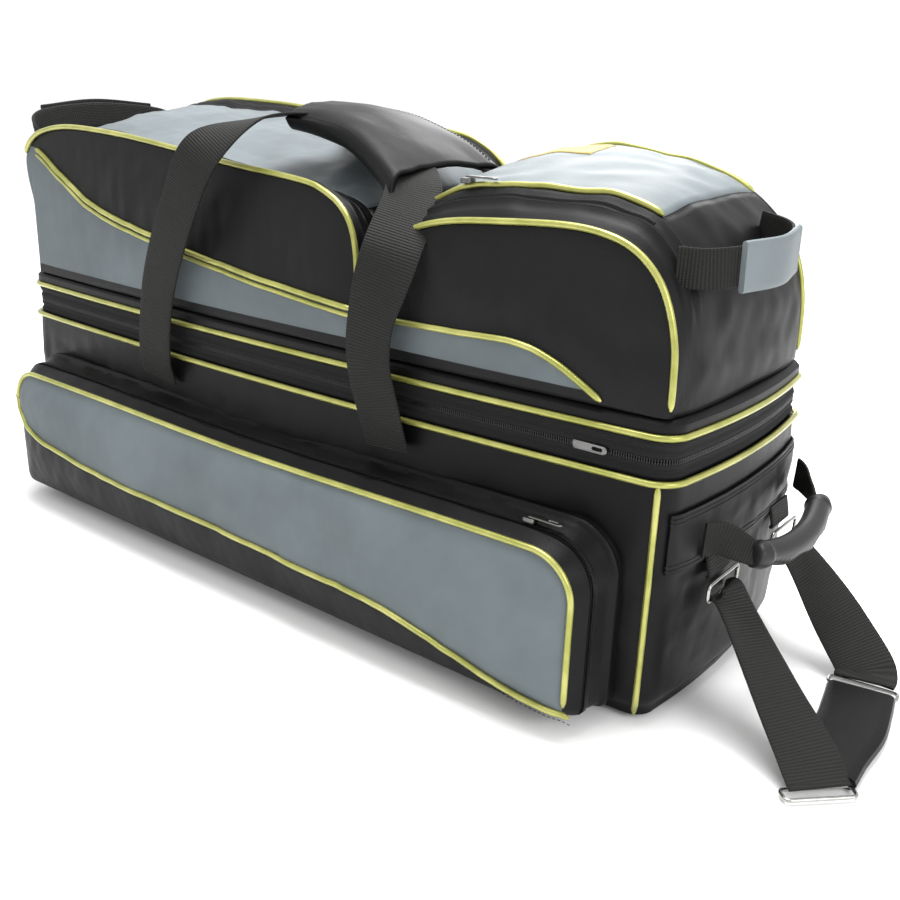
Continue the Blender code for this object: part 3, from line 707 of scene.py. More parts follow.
def make_main_zip():
    """Two tape rings with rolled edges, and the coil between them."""
    ring = np.c_[plan_ring(0.0035), np.zeros(RING_STEPS)]
    up = np.array([0.0, 0.0, 1.0])
    bands = (("lower", LOWER_TOP + 0.0006, ZIP_SPLIT - 0.0003, "case", 1),
             ("upper", LID_BASE - 0.0004, ZIP_SPLIT + 0.0003, "lid", -1))
    for name, far, near, body, row in bands:
        step = np.array([0, 0.12, 0.25, 0.36, 0.46, 0.56, 0.66, 0.76, 0.86, 0.95, 1.0])
        puff = np.array([0.4, 1.8, 2.5, 1.9, 0.6, 0.5, 1.5, 1.9, 1.4, 0.2, -0.6]) * 0.001
        height = far + (near - far) * step
        face = np.stack([height, puff], -1)
        back = np.stack([height[::-1], np.full(len(step), -0.0030)], -1)
        profile = np.vstack([face, back])
        points = carried(ring, profile, up, closed=True)
        wobble = ripple(points, 0.06, 5 + row) * 0.0005
        points[..., 2] += wobble * np.sin(np.pi * np.r_[step, step[::-1]])
        solid_sweep(f"main_zip_{name}_band", points, ZIP_TAPE, body, True,
                    stands_for=[f"main_zip_{name}_tape"])
        line = ring + (0, 0, ZIP_SPLIT)
        line[:, :2] += ring_out(line[:, :2]) * 0.0006
        zip_teeth(f"main_zip_{name}_teeth", line, up, body, -row, closed=True)


def make_rear_hinge():
    """A fabric strip sewn over the rear of the zip, from the case to the lid."""
    ring = plan_ring(0.0, 900)
    ring = ring[(ring[:, 1] > 0.10) & (np.abs(ring[:, 0]) < HALF_LENGTH - CORNER_RADIUS - 0.004)]
    ring = ring[np.argsort(ring[:, 0])]
    low, high = LOWER_TOP + 0.0014, LID_BASE - 0.0010
    z = np.linspace(low, high, 25)
    puff = 0.0010 * np.exp(-(np.abs(z - ZIP_SPLIT) / 0.004) ** 2)
    outer = np.array([np.c_[ring[:, 0], ring[:, 1] + 0.0012 - p, np.full(len(ring), level)]
                      for level, p in zip(z, puff)])
    inner = outer[::-1] - (0, 0.0014, 0)
    points = np.vstack([outer, inner]).swapaxes(0, 1)
    strip = solid_sweep("rear_hinge_strip", points, BLACK_NYLON, None)
    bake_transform(strip)


def make_lid_deck():
    """The padded board between the main zip and the upper compartments."""
    rings = [(0.012, LID_BASE + 0.0004), (0.0022, LID_BASE + 0.0010), (0.0002, LID_BASE + 0.005),
             (0.0004, LID_TOP - 0.004), (0.004, LID_TOP - 0.0006), (0.012, LID_TOP)]
    points = np.array([np.c_[plan_ring(inset), np.full(RING_STEPS, z)] for inset, z in rings])
    cloth = cloth_of(points)
    cloth[..., 0] = np.arange(RING_STEPS) * RING_PITCH
    faces = capped_rings(len(rings), RING_STEPS)
    make_piece("lid_deck", points, faces, BLACK_NYLON, "lid", cloth=cloth,
               stands_for=["lid_floor_board"])


def make_end_band():
    """A wide band sewn round the pull end, with a double row of stitches."""
    ring = plan_ring()
    corner = HALF_LENGTH - CORNER_RADIUS * 0.29, HALF_DEPTH - CORNER_RADIUS * 0.29
    first = int(np.argmin(np.linalg.norm(ring - (corner[0], -corner[1]), axis=1))) + 1
    last = int(np.argmin(np.linalg.norm(ring - (corner[0] - 0.02, corner[1] + 0.007), axis=1)))
    span = np.arange(first, last + 1)
    low, high = 0.138, 0.188
    heights = np.linspace(low, high, 15)
    wall = body_points(ring, np.repeat(heights[:, None], len(ring), 1), 0.0015)[:, span]
    lifted = body_points(ring, np.repeat(heights[:, None], len(ring), 1), 0.0032)[:, span]
    points = np.vstack([lifted, wall[::-1]]).swapaxes(0, 1)
    solid_sweep("end_band_webbing", points, BLACK_NYLON, "case", stands_for=["end_band"])
    out = np.c_[ring_out(ring), np.zeros(len(ring))][span]
    for index, edge in enumerate((1, 2, 12, 13)):
        stitch_run(f"end_band_stitches_{index}", lifted[edge] + out * 0.0002, out, "case")


# ---- front pocket ----------------------------------------------------------------------
POCKET_LEFT, POCKET_RIGHT = -0.400, 0.398
POCKET_TOP, POCKET_BOTTOM = 0.172, 0.0145
PANEL_Y, PANEL_PUFF = -0.1870, 0.0125
POCKET_COUNT = 400


def pocket_ring(inset):
    """Front view of the pocket, all the way round: wide round top corners, tight lower ones."""
    left, right = POCKET_LEFT + inset, POCKET_RIGHT - inset
    top, bottom = POCKET_TOP - inset, POCKET_BOTTOM + inset * 0.35
    wide, tight = 0.044 - inset * 0.4, 0.010
    line = np.vstack([
        ellipse((left + tight, bottom + tight), (tight, tight), 270, 180, 10),
        ellipse((left + wide, top - wide), (wide, wide), 180, 90, 24),
        ellipse((right - wide, top - wide), (wide, wide), 90, 0, 24),
        ellipse((right - tight, bottom + tight), (tight, tight), 0, -90, 10)])
    return even_ring(line, POCKET_COUNT)


def sag(x):
    """The pocket's top dips a little between its ends."""
    return -0.006 * np.exp(-((x - 0.02) / 0.22) ** 2)


POCKET_SWOOSH = smooth_path([(-0.400, 0.140), (-0.386, 0.122), (-0.338, 0.088), (-0.204, 0.073),
                             (-0.054, 0.070), (0.074, 0.065), (0.195, 0.060), (0.277, 0.044),
                             (0.327, 0.032), (0.375, 0.026), (0.400, 0.024)], 10)


def pocket_surface(inset, y):
    ring = pocket_ring(inset)
    place = np.stack([ring[:, 0], np.full(POCKET_COUNT, y), ring[:, 1]], -1)
    high = np.clip((ring[:, 1] - 0.10) / 0.06, 0, 1)
    place[:, 2] += sag(ring[:, 0]) * high
    return place


def make_pocket_gusset():
    """The pocket's side wall: a seam bead, a knitted band, the zip's two ridges, the rim."""
    rows = [(-0.002, -0.116), (-0.0015, -0.133), (0.0000, -0.1400), (-0.0018, -0.1420),
            (-0.0022, -0.1440), (-0.0012, -0.1460), (0.0012, -0.1475), (0.0030, -0.1530),
            (0.0046, -0.1590), (0.0056, -0.1630), (0.0046, -0.1645), (0.0044, -0.1660),
            (0.0054, -0.1675), (0.0072, -0.1690), (0.0064, -0.1705), (0.0062, -0.1720),
            (0.0074, -0.1738), (0.0092, -0.1765), (0.0116, -0.1810), (0.0136, -0.1850),
            (0.0142, -0.1866)]
    outer = np.array([pocket_surface(inset, y) for inset, y in rows])
    inner = np.array([pocket_surface(inset + 0.0045, y) for inset, y in rows[::-1]])
    points = np.vstack([outer, inner])
    calm = np.r_[np.linspace(0, 1, 8), np.ones(11), 0.5, 0.0]
    wobble = ripple(points, 0.07, 21) * 0.0009 * np.r_[calm, calm[::-1]][:, None]
    points[..., 2] += wobble
    faces = grid_faces(len(points), POCKET_COUNT, True, True)
    cloth = cloth_of(points)
    cloth[..., 0] = np.arange(POCKET_COUNT) * 0.0048
    make_piece("pocket_side_wall", points, faces, BLACK_NYLON, "case", cloth=cloth,
               stands_for=["pocket_gusset"])
    top = slice(20, POCKET_COUNT - 130)
    line = pocket_surface(0.0052, -0.1671)[top]
    forward = np.array([0.0, -1.0, 0.0])
    for name, row in (("front", 1), ("back", -1)):
        zip_teeth(f"pocket_zip_teeth_{name}", line, forward, "case", row)


def panel_point(x, z, depth):
    """depth runs from 0 at the panel's rim to 1 at its middle: the puff rises steeply, then flat."""
    puff = PANEL_PUFF * (1 - (1 - depth) ** 3.2)
    place = np.stack([x, np.full_like(x, PANEL_Y), z], -1)
    crease = ripple(place * (1, 0, 1.5), 0.16, 31) * 0.0022 + ripple(place, 0.05, 32) * 0.0007
    place[..., 1] -= puff + crease * np.clip(depth * 6, 0, 1)
    return place


def panel_depth(x, z):
    """Share of the way in from the nearest edge of the panel, for points away from the rim."""
    left, right = POCKET_LEFT + 0.0142, POCKET_RIGHT - 0.0142
    top = POCKET_TOP - 0.0142 + sag(x)
    reach = np.minimum(np.minimum(x - left, right - x), np.minimum(top - z, z - POCKET_BOTTOM))
    return np.clip(reach / 0.068, 0, 1)


def make_pocket_panel():
    """A padded panel: the rim drawn in to a middle line, puffed forwards, in two colours."""
    rim = pocket_surface(0.0142, PANEL_Y)
    middle = np.stack([np.clip(rim[:, 0], -0.325, 0.330), np.full(POCKET_COUNT, 0.086)], -1)
    share = np.r_[np.linspace(0, 0.25, 14), np.linspace(0.25, 1, 26)[1:]][:, None]
    x = rim[None, :, 0] * (1 - share) + middle[None, :, 0] * share
    z = rim[None, :, 2] * (1 - share) + middle[None, :, 1] * share
    front = panel_point(x, z, share + 0 * x)
    tone = z - np.interp(x, POCKET_SWOOSH[:, 0], POCKET_SWOOSH[:, 1])
    edge = pocket_surface(0.0150, PANEL_Y)
    back = np.array([edge, edge * (0.96, 1, 0.9) + (0, 0, 0.0088)])
    back[1, :, 1] = PANEL_Y
    points = np.vstack([back[::-1], front])
    tones = np.vstack([np.full((2, POCKET_COUNT), -0.01), tone])
    faces = grid_faces(len(points), POCKET_COUNT, False, True).tolist()
    faces.append(list(range(POCKET_COUNT)))
    panel = make_piece("pocket_padded_panel", points, faces, TWO_TONE, "pocket_front",
                       cloth=points[..., (0, 2)], tone=tones, stands_for=["pocket_panel"])


def make_pocket_piping():
    """Gold piping round the panel's rim, and along the seam between its two colours."""
    rim = pocket_surface(0.0135, PANEL_Y - 0.0008)
    start = int(np.argmin(np.linalg.norm(rim[:, (0, 2)] - (-0.386, 0.118), axis=1)))
    end = int(np.argmin(np.linalg.norm(rim[:, (0, 2)] - (0.391, 0.030), axis=1)))
    piping_cord("pocket_rim_piping", rim[min(start, end):max(start, end) + 1], "pocket_front")
    line = POCKET_SWOOSH[8:-4]
    x, z = line[:, 0], line[:, 1]
    seam = panel_point(x, z, panel_depth(x, z)) + (0, -0.0012, 0)
    piping_cord("pocket_seam_piping", seam, "pocket_front")
    lower = seam + (0, 0.0004, -0.0052)
    stitch_run("pocket_seam_stitches", lower + (0, -0.0008, 0), np.array([0.0, -1.0, 0.0]),
               "pocket_front")


# ---- upper compartments ----------------------------------------------------------------
PANEL_TOP_Y = 0.118
MOUTH = 0.72


def lid_edge(x, side):
    """How far the lid's edge is from the middle at x, in front (-1) or behind (1)."""
    bow = FRONT_BOW if side < 0 else REAR_BOW
    flat = HALF_LENGTH - CORNER_RADIUS
    past = np.clip(np.abs(x) - flat, 0, CORNER_RADIUS - 0.006)
    straight = HALF_DEPTH + bow * np.clip(1 - (x / flat) ** 2, 0, 1)
    return straight - (CORNER_RADIUS - np.sqrt(CORNER_RADIUS ** 2 - past ** 2)) - 0.0025


class Compartment:
    """Two upright panels joined by a strip that wraps over the top from foot to foot.

    The strip is a grid: u runs along the outline and v from the front panel (-1) to the rear
    one (1). A point is the two outlines mixed by v, lifted square to them by rise(v).
    """

    def __init__(self, side, front, rear, rise, end_bulge, flap, fold):
        self.side, self.rise, self.end_bulge = side, rise, end_bulge
        self.flap, self.fold = flap, fold
        self.front = even_path(smooth_path(front, 14), 0.0055)
        self.count = len(self.front)
        rear_line = even_path(smooth_path(rear, 14), 0.002)
        share = np.linspace(0, len(rear_line) - 1, self.count)
        index = np.arange(len(rear_line))
        self.rear = np.stack([np.interp(share, index, rear_line[:, i]) for i in (0, 1)], -1)
        self.v = np.r_[np.linspace(-1, -MOUTH, 15), np.linspace(-MOUTH, MOUTH, 42)[1:-1],
                       np.linspace(MOUTH, 1, 13)]
        self.seed = 40 if side == "left" else 60

    def wall(self, x, z, side):
        """y of the front or rear panel: from the lid's edge at the foot, leaning in to the top."""
        height = np.clip((z - LID_TOP) / 0.150, 0, 1)
        lean = lid_edge(x, side) * (1 - height) + PANEL_TOP_Y * height
        left, right = self.front[0, 0], self.front[-1, 0]
        middle = np.clip(np.sin(np.pi * (x - left) / (right - left)), 0, 1) ** 0.5
        top = np.interp(x, self.front[:, 0], self.front[:, 1]) if side < 0 else \
            np.interp(x, self.rear[:, 0], self.rear[:, 1])
        tall = np.clip((z - LID_TOP) / np.maximum(top - LID_TOP, 0.02), 0, 1)
        belly = np.sin(np.pi * tall) ** 0.8 * middle
        place = np.stack([x, np.zeros_like(x), z], -1)
        crease = ripple(place * (0.7, 1, 1.2), 0.12, self.seed + side) * 0.0022
        crease = crease + ripple(place * (1.6, 1, 0.8), 0.05, self.seed + 5 + side) * 0.0009
        return side * (lean + belly * 0.0070 + crease * belly)

    def strip(self, u, v):
        """The wrap at outline indices u and shares v, as arrays of the same shape."""
        index = np.arange(self.count)
        mix = (v + 1) / 2

        def along(line, i):
            return np.interp(u, index, line[:, i])

        out = {}
        for side, line in ((-1, self.front), (1, self.rear)):
            x, z = along(line, 0), along(line, 1)
            out[side] = np.stack([x, self.wall(x, z, side), z], -1)
        base = out[-1] * (1 - mix[..., None]) + out[1] * mix[..., None]
        slope = unit(np.gradient(self.front, axis=0))
        normal = np.stack([-np.interp(u, index, slope[:, 1]), np.interp(u, index, slope[:, 0])], -1)
        upward = np.clip(normal[..., 1], 0, 1) ** 1.5
        shares, lifts = np.array(self.rise).T
        lift = np.interp(v, shares, lifts) * upward
        lift = lift + self.end_bulge * (1 - v ** 4) * (1 - upward)
        calm = np.clip((1 - np.abs(v)) * 8, 0, 1)
        crease = ripple(base * (1, 0.8, 1), 0.11, self.seed + 9) * 0.0020
        crease = crease + ripple(base, 0.045, self.seed + 10) * 0.0008
        fall = np.clip(1 - (u / (self.count - 1) * 2 - 1) ** 30, 0, 1)
        lift = lift + crease * calm * fall
        lift = lift + self.ridges(v) * np.clip(normal[..., 1] * 3 - 0.6, 0, 1)
        move = np.stack([normal[..., 0], np.zeros_like(lift), normal[..., 1]], -1)
        return base + move * lift[..., None]

    @staticmethod
    def ridges(v):
        """Two rolled zip edges beside the flap, in front and behind."""
        near = [0.0016 * np.exp(-((np.abs(v) - at) / 0.016) ** 2) for at in (0.765, 0.855, 0.935)]
        return sum(near) - 0.0012 * np.exp(-((np.abs(v) - 0.81) / 0.014) ** 2)

    def column_at(self, x):
        """Outline index where the top is at x."""
        top = np.flatnonzero(self.front[:, 1] > self.front[:, 1].max() - 0.075)
        return int(top[np.argmin(np.abs(self.front[top, 0] - x))])

    def grid(self):
        u, v = np.meshgrid(np.arange(self.count, dtype=float), self.v, indexing="ij")
        return self.strip(u, v)


LEFT_FRONT = [(-0.410, 0.2632), (-0.415, 0.297), (-0.424, 0.343), (-0.432, 0.372), (-0.432, 0.394),
              (-0.418, 0.412), (-0.391, 0.424), (-0.340, 0.431), (-0.260, 0.429), (-0.185, 0.423),
              (-0.072, 0.411), (0.030, 0.403), (0.062, 0.396), (0.087, 0.383), (0.103, 0.362),
              (0.112, 0.330), (0.114, 0.295), (0.114, 0.2632)]
LEFT_REAR = [(-0.410, 0.2632), (-0.415, 0.300), (-0.424, 0.350), (-0.430, 0.395), (-0.424, 0.432),
             (-0.400, 0.453), (-0.350, 0.461), (-0.270, 0.460), (-0.185, 0.455), (-0.072, 0.446),
             (0.020, 0.439), (0.060, 0.428), (0.088, 0.408), (0.105, 0.380), (0.113, 0.340),
             (0.114, 0.300), (0.114, 0.2632)]
RIGHT_FRONT = [(0.134, 0.2632), (0.134, 0.300), (0.138, 0.335), (0.148, 0.357), (0.170, 0.374),
               (0.207, 0.384), (0.260, 0.389), (0.317, 0.392), (0.352, 0.389), (0.378, 0.380),
               (0.398, 0.363), (0.410, 0.342), (0.417, 0.316), (0.419, 0.290), (0.420, 0.2632)]
RIGHT_REAR = [(0.134, 0.2632), (0.134, 0.305), (0.138, 0.350), (0.150, 0.386), (0.172, 0.408),
              (0.210, 0.421), (0.255, 0.424), (0.297, 0.419), (0.335, 0.409), (0.372, 0.393),
              (0.398, 0.372), (0.411, 0.346), (0.418, 0.318), (0.420, 0.290), (0.420, 0.2632)]
LEFT_UNIT = Compartment("left", LEFT_FRONT, LEFT_REAR,
                        [(-1, 0), (-0.94, -0.001), (-0.86, -0.008), (-0.72, -0.014), (-0.4, -0.006),
                         (0, -0.001), (0.5, -0.002), (0.72, -0.003), (0.9, -0.001), (1, 0)],
                        0.006, (-0.372, 0.088), -0.112)
RIGHT_UNIT = Compartment("right", RIGHT_FRONT, RIGHT_REAR,
                         [(-1, 0), (-0.94, 0.005), (-0.86, 0.013), (-0.72, 0.020), (-0.4, 0.026),
                          (0, 0.028), (0.4, 0.026), (0.72, 0.019), (0.88, 0.010), (1, 0)],
                         0.009, (0.166, 0.374), 0.372)


def swoosh_height(x):
    """The seam between black and slate that falls along both front panels."""
    line = np.array([(-0.440, 0.409), (-0.400, 0.402), (-0.345, 0.376), (-0.280, 0.351),
                     (-0.180, 0.333), (-0.030, 0.313), (0.100, 0.300), (0.150, 0.2975),
                     (0.220, 0.2985), (0.285, 0.3005), (0.320, 0.292), (0.350, 0.277),
                     (0.368, 0.266), (0.400, 0.250)])
    fine = smooth_path(line, 8)
    return np.interp(x, fine[:, 0], fine[:, 1])


def make_compartment_wall(unit_, side, name):
    """An upright panel: its foot on the lid, each point joined to the outline in a straight line."""
    line = unit_.front if side < 0 else unit_.rear
    share = np.linspace(0, 1, unit_.count)
    foot_x = line[0, 0] + (line[-1, 0] - line[0, 0]) * share
    t = np.linspace(0, 1, 36)[:, None]
    x = foot_x * (1 - t) + line[None, :, 0] * t
    z = LID_TOP + 0.0007 + (line[None, :, 1] - LID_TOP - 0.0007) * t
    points = np.stack([x, unit_.wall(x, z, side), z], -1)
    tone = np.minimum(swoosh_height(x) - z, z - 0.2730)
    faces = grid_faces(36, unit_.count)
    piece = make_piece(f"{unit_.side}_compartment_{name}", points, faces,
                       TWO_TONE if side < 0 else BLACK_NYLON, "lid", cloth=points[..., (0, 2)],
                       tone=tone, closed=False,
                       stands_for=[f"{unit_.side}_compartment_shell"])
    centre = ((line[0, 0] + line[-1, 0]) / 2, 0, 0.34)
    return thickened(piece, 0.0040, centre, LINING)


def make_compartment_wrap(unit_):
    """The strip over the top with the mouth left open, and the panel that closes the mouth."""
    points = unit_.grid()
    first, last = (unit_.column_at(x) for x in unit_.flap)
    faces = grid_faces(*points.shape[:2])
    row, column = faces[:, 0] // points.shape[1], faces[:, 0] % points.shape[1]
    in_mouth = ((row >= first) & (row < last) & (unit_.v[column] > -MOUTH - 1e-6)
                & (unit_.v[column] < MOUTH - 1e-6))
    piece = make_piece(f"{unit_.side}_compartment_wrap", points, faces[~in_mouth], BLACK_NYLON,
                       "lid", cloth=cloth_of(points), closed=False)
    middle = ((unit_.front[0, 0] + unit_.front[-1, 0]) / 2, 0, 0.34)
    thickened(piece, 0.0040, middle, LINING)
    inner_v = np.abs(unit_.v) < MOUTH + 1e-6
    part = points[first:last + 1][:, inner_v].copy()
    part[:, (0, -1), 1] *= 0.994
    part[..., 2] += 0.0004
    flap = make_piece(f"{unit_.side}_top_panel", part, grid_faces(*part.shape[:2]), SLATE_NYLON,
                      None, cloth=cloth_of(part), closed=False,
                      stands_for=[f"{unit_.side}_top_flap"])
    thickened(flap, 0.0044, middle, LINING)
    fold(unit_, flap)
    return first, last


def fold(unit_, piece):
    """Works out where the flap folds back for a piece of the top panel, but only bakes the piece's
    transform into its mesh.
    """
    turn = 0.010 if unit_.side == "left" else -0.005
    place = [(unit_.fold + offset, 0, 0.4305) for offset in (turn, -turn)]
    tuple(place[0])
    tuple(place[1])
    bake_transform(piece)


def make_compartment_piping(unit_, first, last):
    """Gold piping on the panel outlines, on the swoosh, and on the right flap's long edges."""
    every = np.arange(unit_.count, dtype=float)
    for name, v, outward in (("front", -1.0, -0.0012), ("rear", 1.0, 0.0012)):
        line = unit_.strip(every, np.full(unit_.count, v)) + (0, outward, 0.0006)
        start = int(np.argmax(line[:, 2] > 0.395)) if (unit_.side, name) == ("left", "front") else 1
        piping_cord(f"{unit_.side}_compartment_piping_{name}", line[start:-1], "lid")
    if unit_.side == "right":
        for name, v in (("front", -MOUTH), ("rear", MOUTH)):
            span = np.arange(first, last + 1, dtype=float)
            line = unit_.strip(span, np.full(len(span), v)) + (0, 0, 0.0012)
            cord = piping_cord(f"right_flap_piping_{name}", line, None)
            fold(unit_, cord)
    x = np.linspace(unit_.front[0, 0] - 0.016, min(unit_.front[-1, 0] - 0.002, 0.366), 90)
    z = swoosh_height(x)
    top = np.interp(x, unit_.front[:, 0], unit_.front[:, 1])
    keep = z < top - 0.004
    x, z = x[keep], z[keep]
    for name, drop, size in (("bright", 0.0, PIPING), ("dull", -0.0062, PIPING * 0.8)):
        if unit_.side == "right" and name == "dull":
            continue
        line = np.stack([x, unit_.wall(x, z + drop, -1) - 0.0012, z + drop], -1)
        piping_cord(f"{unit_.side}_swoosh_piping_{name}", line, "lid", radius=size)


def make_flap_zips(unit_, first, last):
    """Two rows of coil in front of and behind the top panel."""
    span = np.arange(first, last + 1, dtype=float)
    for place, sign in (("front", -1), ("rear", 1)):
        line = unit_.strip(span, np.full(len(span), sign * 0.81)) + (0, 0, 0.0010)
        for row in (-1, 1):
            zip_teeth(f"{unit_.side}_flap_zip_{place}_{'ab'[row > 0]}", line,
                      np.array([0.0, 1.0, 0.0]), "lid", row)


def make_compartments():
    for unit_ in (LEFT_UNIT, RIGHT_UNIT):
        make_compartment_wall(unit_, -1, "front_panel")
        make_compartment_wall(unit_, 1, "rear_panel")
        first, last = make_compartment_wrap(unit_)
        make_compartment_piping(unit_, first, last)
        make_flap_zips(unit_, first, last)


# ---- handles and straps ----------------------------------------------------------------
def carry_route(front):
    """Where a carry handle's webbing runs, and which way is across it, at each turn."""
    sign = -1 if front else 1
    wall_y = 0.160 if front else 0.147
    crest_y = 0.150 if front else 0.142
    top_y = -0.052 if front else 0.004
    top_z = 0.459 if front else 0.452
    along, lean, back = (1, 0, 0), (0.92, 0, -0.40), (0, sign, 0)
    return [((-0.156, sign * (wall_y - 0.008), 0.186), along),
            ((-0.151, sign * wall_y, 0.218), along),
            ((-0.134, sign * (wall_y + 0.002), 0.290), lean),
            ((-0.095, sign * (wall_y + 0.002), 0.370), lean),
            ((-0.068, sign * crest_y, 0.425), lean),
            ((-0.043, (sign * crest_y + top_y) / 2, top_z - 0.006), (0.7, 0.7 * sign, 0)),
            ((-0.004, top_y, top_z), back),
            ((0.034, top_y, top_z - 0.001), back),
            ((0.072, top_y, top_z - 0.011), back),
            ((0.116, top_y + sign * 0.022, top_z - 0.034), (-0.45, 0.9 * sign, 0)),
            ((0.150, (sign * crest_y + top_y) / 2, 0.402), (-0.55, 0.85 * sign, 0)),
            ((0.167, sign * (crest_y - 0.002), 0.360), (-0.80, 0.60 * sign, 0)),
            ((0.156, sign * (wall_y + 0.001), 0.305), (-1, 0.08 * sign, 0)),
            ((0.153, sign * (wall_y + 0.002), 0.262), (-1, 0, 0)),
            ((0.164, sign * wall_y, 0.218), (-1, 0, 0)),
            ((0.167, sign * (wall_y - 0.008), 0.186), (-1, 0, 0))]


def make_carry_handles():
    """Two webbing loops sewn to the case below the zip, free above it."""
    for name, front in (("front", True), ("rear", False)):
        loop = strap(f"{name}_carry_webbing", carry_route(front), None, steps=16,
                     stands_for=[f"{name}_handle_strap"])
        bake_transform(loop)


def make_loop_handles():
    """A webbing loop with a folded fabric sleeve at each end of the lid."""
    up, tilt = (0, 0, 1), (-0.15, 0, 1)
    right = [((0.404, -0.108, 0.371), up), ((0.4230, -0.102, 0.371), up),
             ((0.440, -0.086, 0.373), up), ((0.452, -0.045, 0.375), up),
             ((0.446, 0.000, 0.378), up), ((0.4330, 0.022, 0.382), up),
             ((0.406, 0.034, 0.386), up)]
    left = [((-0.424, -0.102, 0.405), up), ((-0.4400, -0.098, 0.418), up),
            ((-0.450, -0.076, 0.432), tilt), ((-0.455, 0.0, 0.439), tilt),
            ((-0.450, 0.076, 0.434), tilt), ((-0.440, 0.098, 0.424), up),
            ((-0.424, 0.104, 0.412), up)]
    for side, route in (("left", left), ("right", right)):
        out = np.array([np.sign(route[3][0][0]), 0, 0])
        strap(f"{side}_loop_webbing", route, "lid", 0.030, 0.0028,
              stands_for=[f"loop_handle_{side}_band"])
        sleeve_route = [(np.array(point) + out * 0.0045, across) for point, across in route[2:-2]]
        # The left sleeve gets black nylon as painted shade: it is the same slate fabric as the right
        # one, seen on its shaded side.
        material = SLATE_NYLON if side == "right" else BLACK_NYLON
        sleeve = strap(f"{side}_loop_sleeve", sleeve_route, "lid", 0.038, 0.0050, material,
                       steps=20, stands_for=[f"loop_handle_{side}_sleeve"])


def make_grip_wrap():
    """A padded wrap that hooks over both carry straps, open behind; it narrows to the pull end."""
    x = np.linspace(-0.022, 0.140, 48)
    share = (x - x[0]) / (x[-1] - x[0])
    turn = np.linspace(0, 1, 36)
    sections = []
    for place, s in zip(x, share):
        top = 0.4665 - 0.048 * s ** 2.3
        front_y, rear_y = -0.087 - 0.034 * s ** 2.5, 0.036 + 0.006 * s
        drop = top - 0.023 - 0.012 * s
        line = smooth_path([(front_y + 0.026, drop + 0.009), (front_y + 0.010, drop),
                            (front_y, drop + 0.010), (front_y + 0.003, top - 0.010),
                            (front_y + 0.020, top - 0.001), ((front_y + rear_y) / 2, top + 0.003),
                            (rear_y - 0.012, top - 0.0015), (rear_y, top - 0.008)], 8)
        walked = np.linspace(0, len(line) - 1, len(turn))
        sections.append(np.stack([np.full(len(turn), place),
                                  np.interp(walked, np.arange(len(line)), line[:, 0]),
                                  np.interp(walked, np.arange(len(line)), line[:, 1])], -1))
    sheet = np.array(sections)
    sheet[..., 2] += ripple(sheet * (0.6, 1.4, 1), 0.05, 71) * 0.0011
    piece = make_piece("carry_grip_wrap", sheet, grid_faces(*sheet.shape[:2]), BLACK_NYLON,
                       "front_handle", cloth=cloth_of(sheet), closed=False,
                       stands_for=["grip_wrap"])
    thickened(piece, 0.0045, (0.05, -0.03, 0.440))
    for name, column in (("front", 15), ("rear", 30)):
        line = sheet[2:-2, column] + (0, 0, 0.0003)
        stitch_run(f"grip_wrap_stitches_{name}", line, np.array([0.0, -0.3, 1.0]), "front_handle")


# ---- pull end --------------------------------------------------------------------------
def make_end_handle():
    """Webbing tabs and a moulded grip: a bowed tube with finger hollows under it."""
    upright, leaning, flat = (0, 0, 1), (-0.45, 0.1, 1), (-0.75, 0, 0.8)
    for name, y, grip_y in (("front", -0.070, -0.052), ("rear", 0.106, 0.088)):
        outer = -0.085 if name == "front" else 0.114
        route = [((0.4405, outer, 0.158), upright), ((0.4490, y, 0.157), upright),
                 ((0.4600, (y + grip_y) / 2, 0.151), leaning),
                 ((0.4735, grip_y, 0.143), flat)]
        tab = strap(f"end_handle_tab_{name}", route, None, 0.030, 0.0028, taper=0.36,
                    stands_for=[f"end_handle_webbing_{name}"])
        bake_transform(tab)
    path = even_path(smooth_path([(0.4700, -0.0560, 0.1455), (0.4740, -0.0475, 0.143),
                                  (0.481, -0.015, 0.1385), (0.4835, 0.018, 0.137),
                                  (0.481, 0.051, 0.1385), (0.4740, 0.0835, 0.143),
                                  (0.4700, 0.0920, 0.1455)], 14), 0.0012)
    walk = np.linspace(0, 1, len(path))
    turn = np.linspace(0, 2 * math.pi, 48, endpoint=False)
    under = np.clip(-np.sin(turn), 0, 1)[None] ** 0.8
    fingers = np.cos(walk * 2 * math.pi * 4)[:, None] * 0.0012 * under
    ribs = np.sin(walk * 2 * math.pi * 26)[:, None] * 0.00045 * under
    ends = np.clip(np.minimum(walk, 1 - walk) / 0.035, 0, 1)[:, None]
    collar = 0.0012 * np.exp(-((np.minimum(walk, 1 - walk) - 0.07) / 0.018) ** 2)[:, None]
    radius = (0.0108 + collar) * (0.45 + 0.55 * np.sqrt(1 - (1 - ends) ** 2)) + fingers + ribs
    across = np.broadcast_to(np.array([1.0, 0.0, 0.0]), path.shape)
    profile = np.stack([np.cos(turn)[None] * radius, -np.sin(turn)[None] * radius], -1)
    solid_sweep("end_handle_moulded_grip", carried(path, profile, across), GRIP, "end_handle",
                stands_for=["end_handle_grip"])


def wire_loop(name, node, size, wire, place, body):
    """A bent wire rectangle with round corners; place turns flat (across, up) into the frame."""
    half_w, half_h = size[0] / 2 - wire / 2, size[1] / 2 - wire / 2
    bend = 0.0040
    corners = [ellipse((sx * (half_w - bend), sy * (half_h - bend)), (bend, bend), start, start + 90,
                       8) for sx, sy, start in ((1, 1, 0), (-1, 1, 90), (-1, -1, 180), (1, -1, 270))]
    flat = even_path(np.vstack(corners), 0.0016, True)
    path = np.array([place(a, b) for a, b in flat])
    return round_tube(name, path, wire / 2, NICKEL, body, True, sides=16, stands_for=[node])


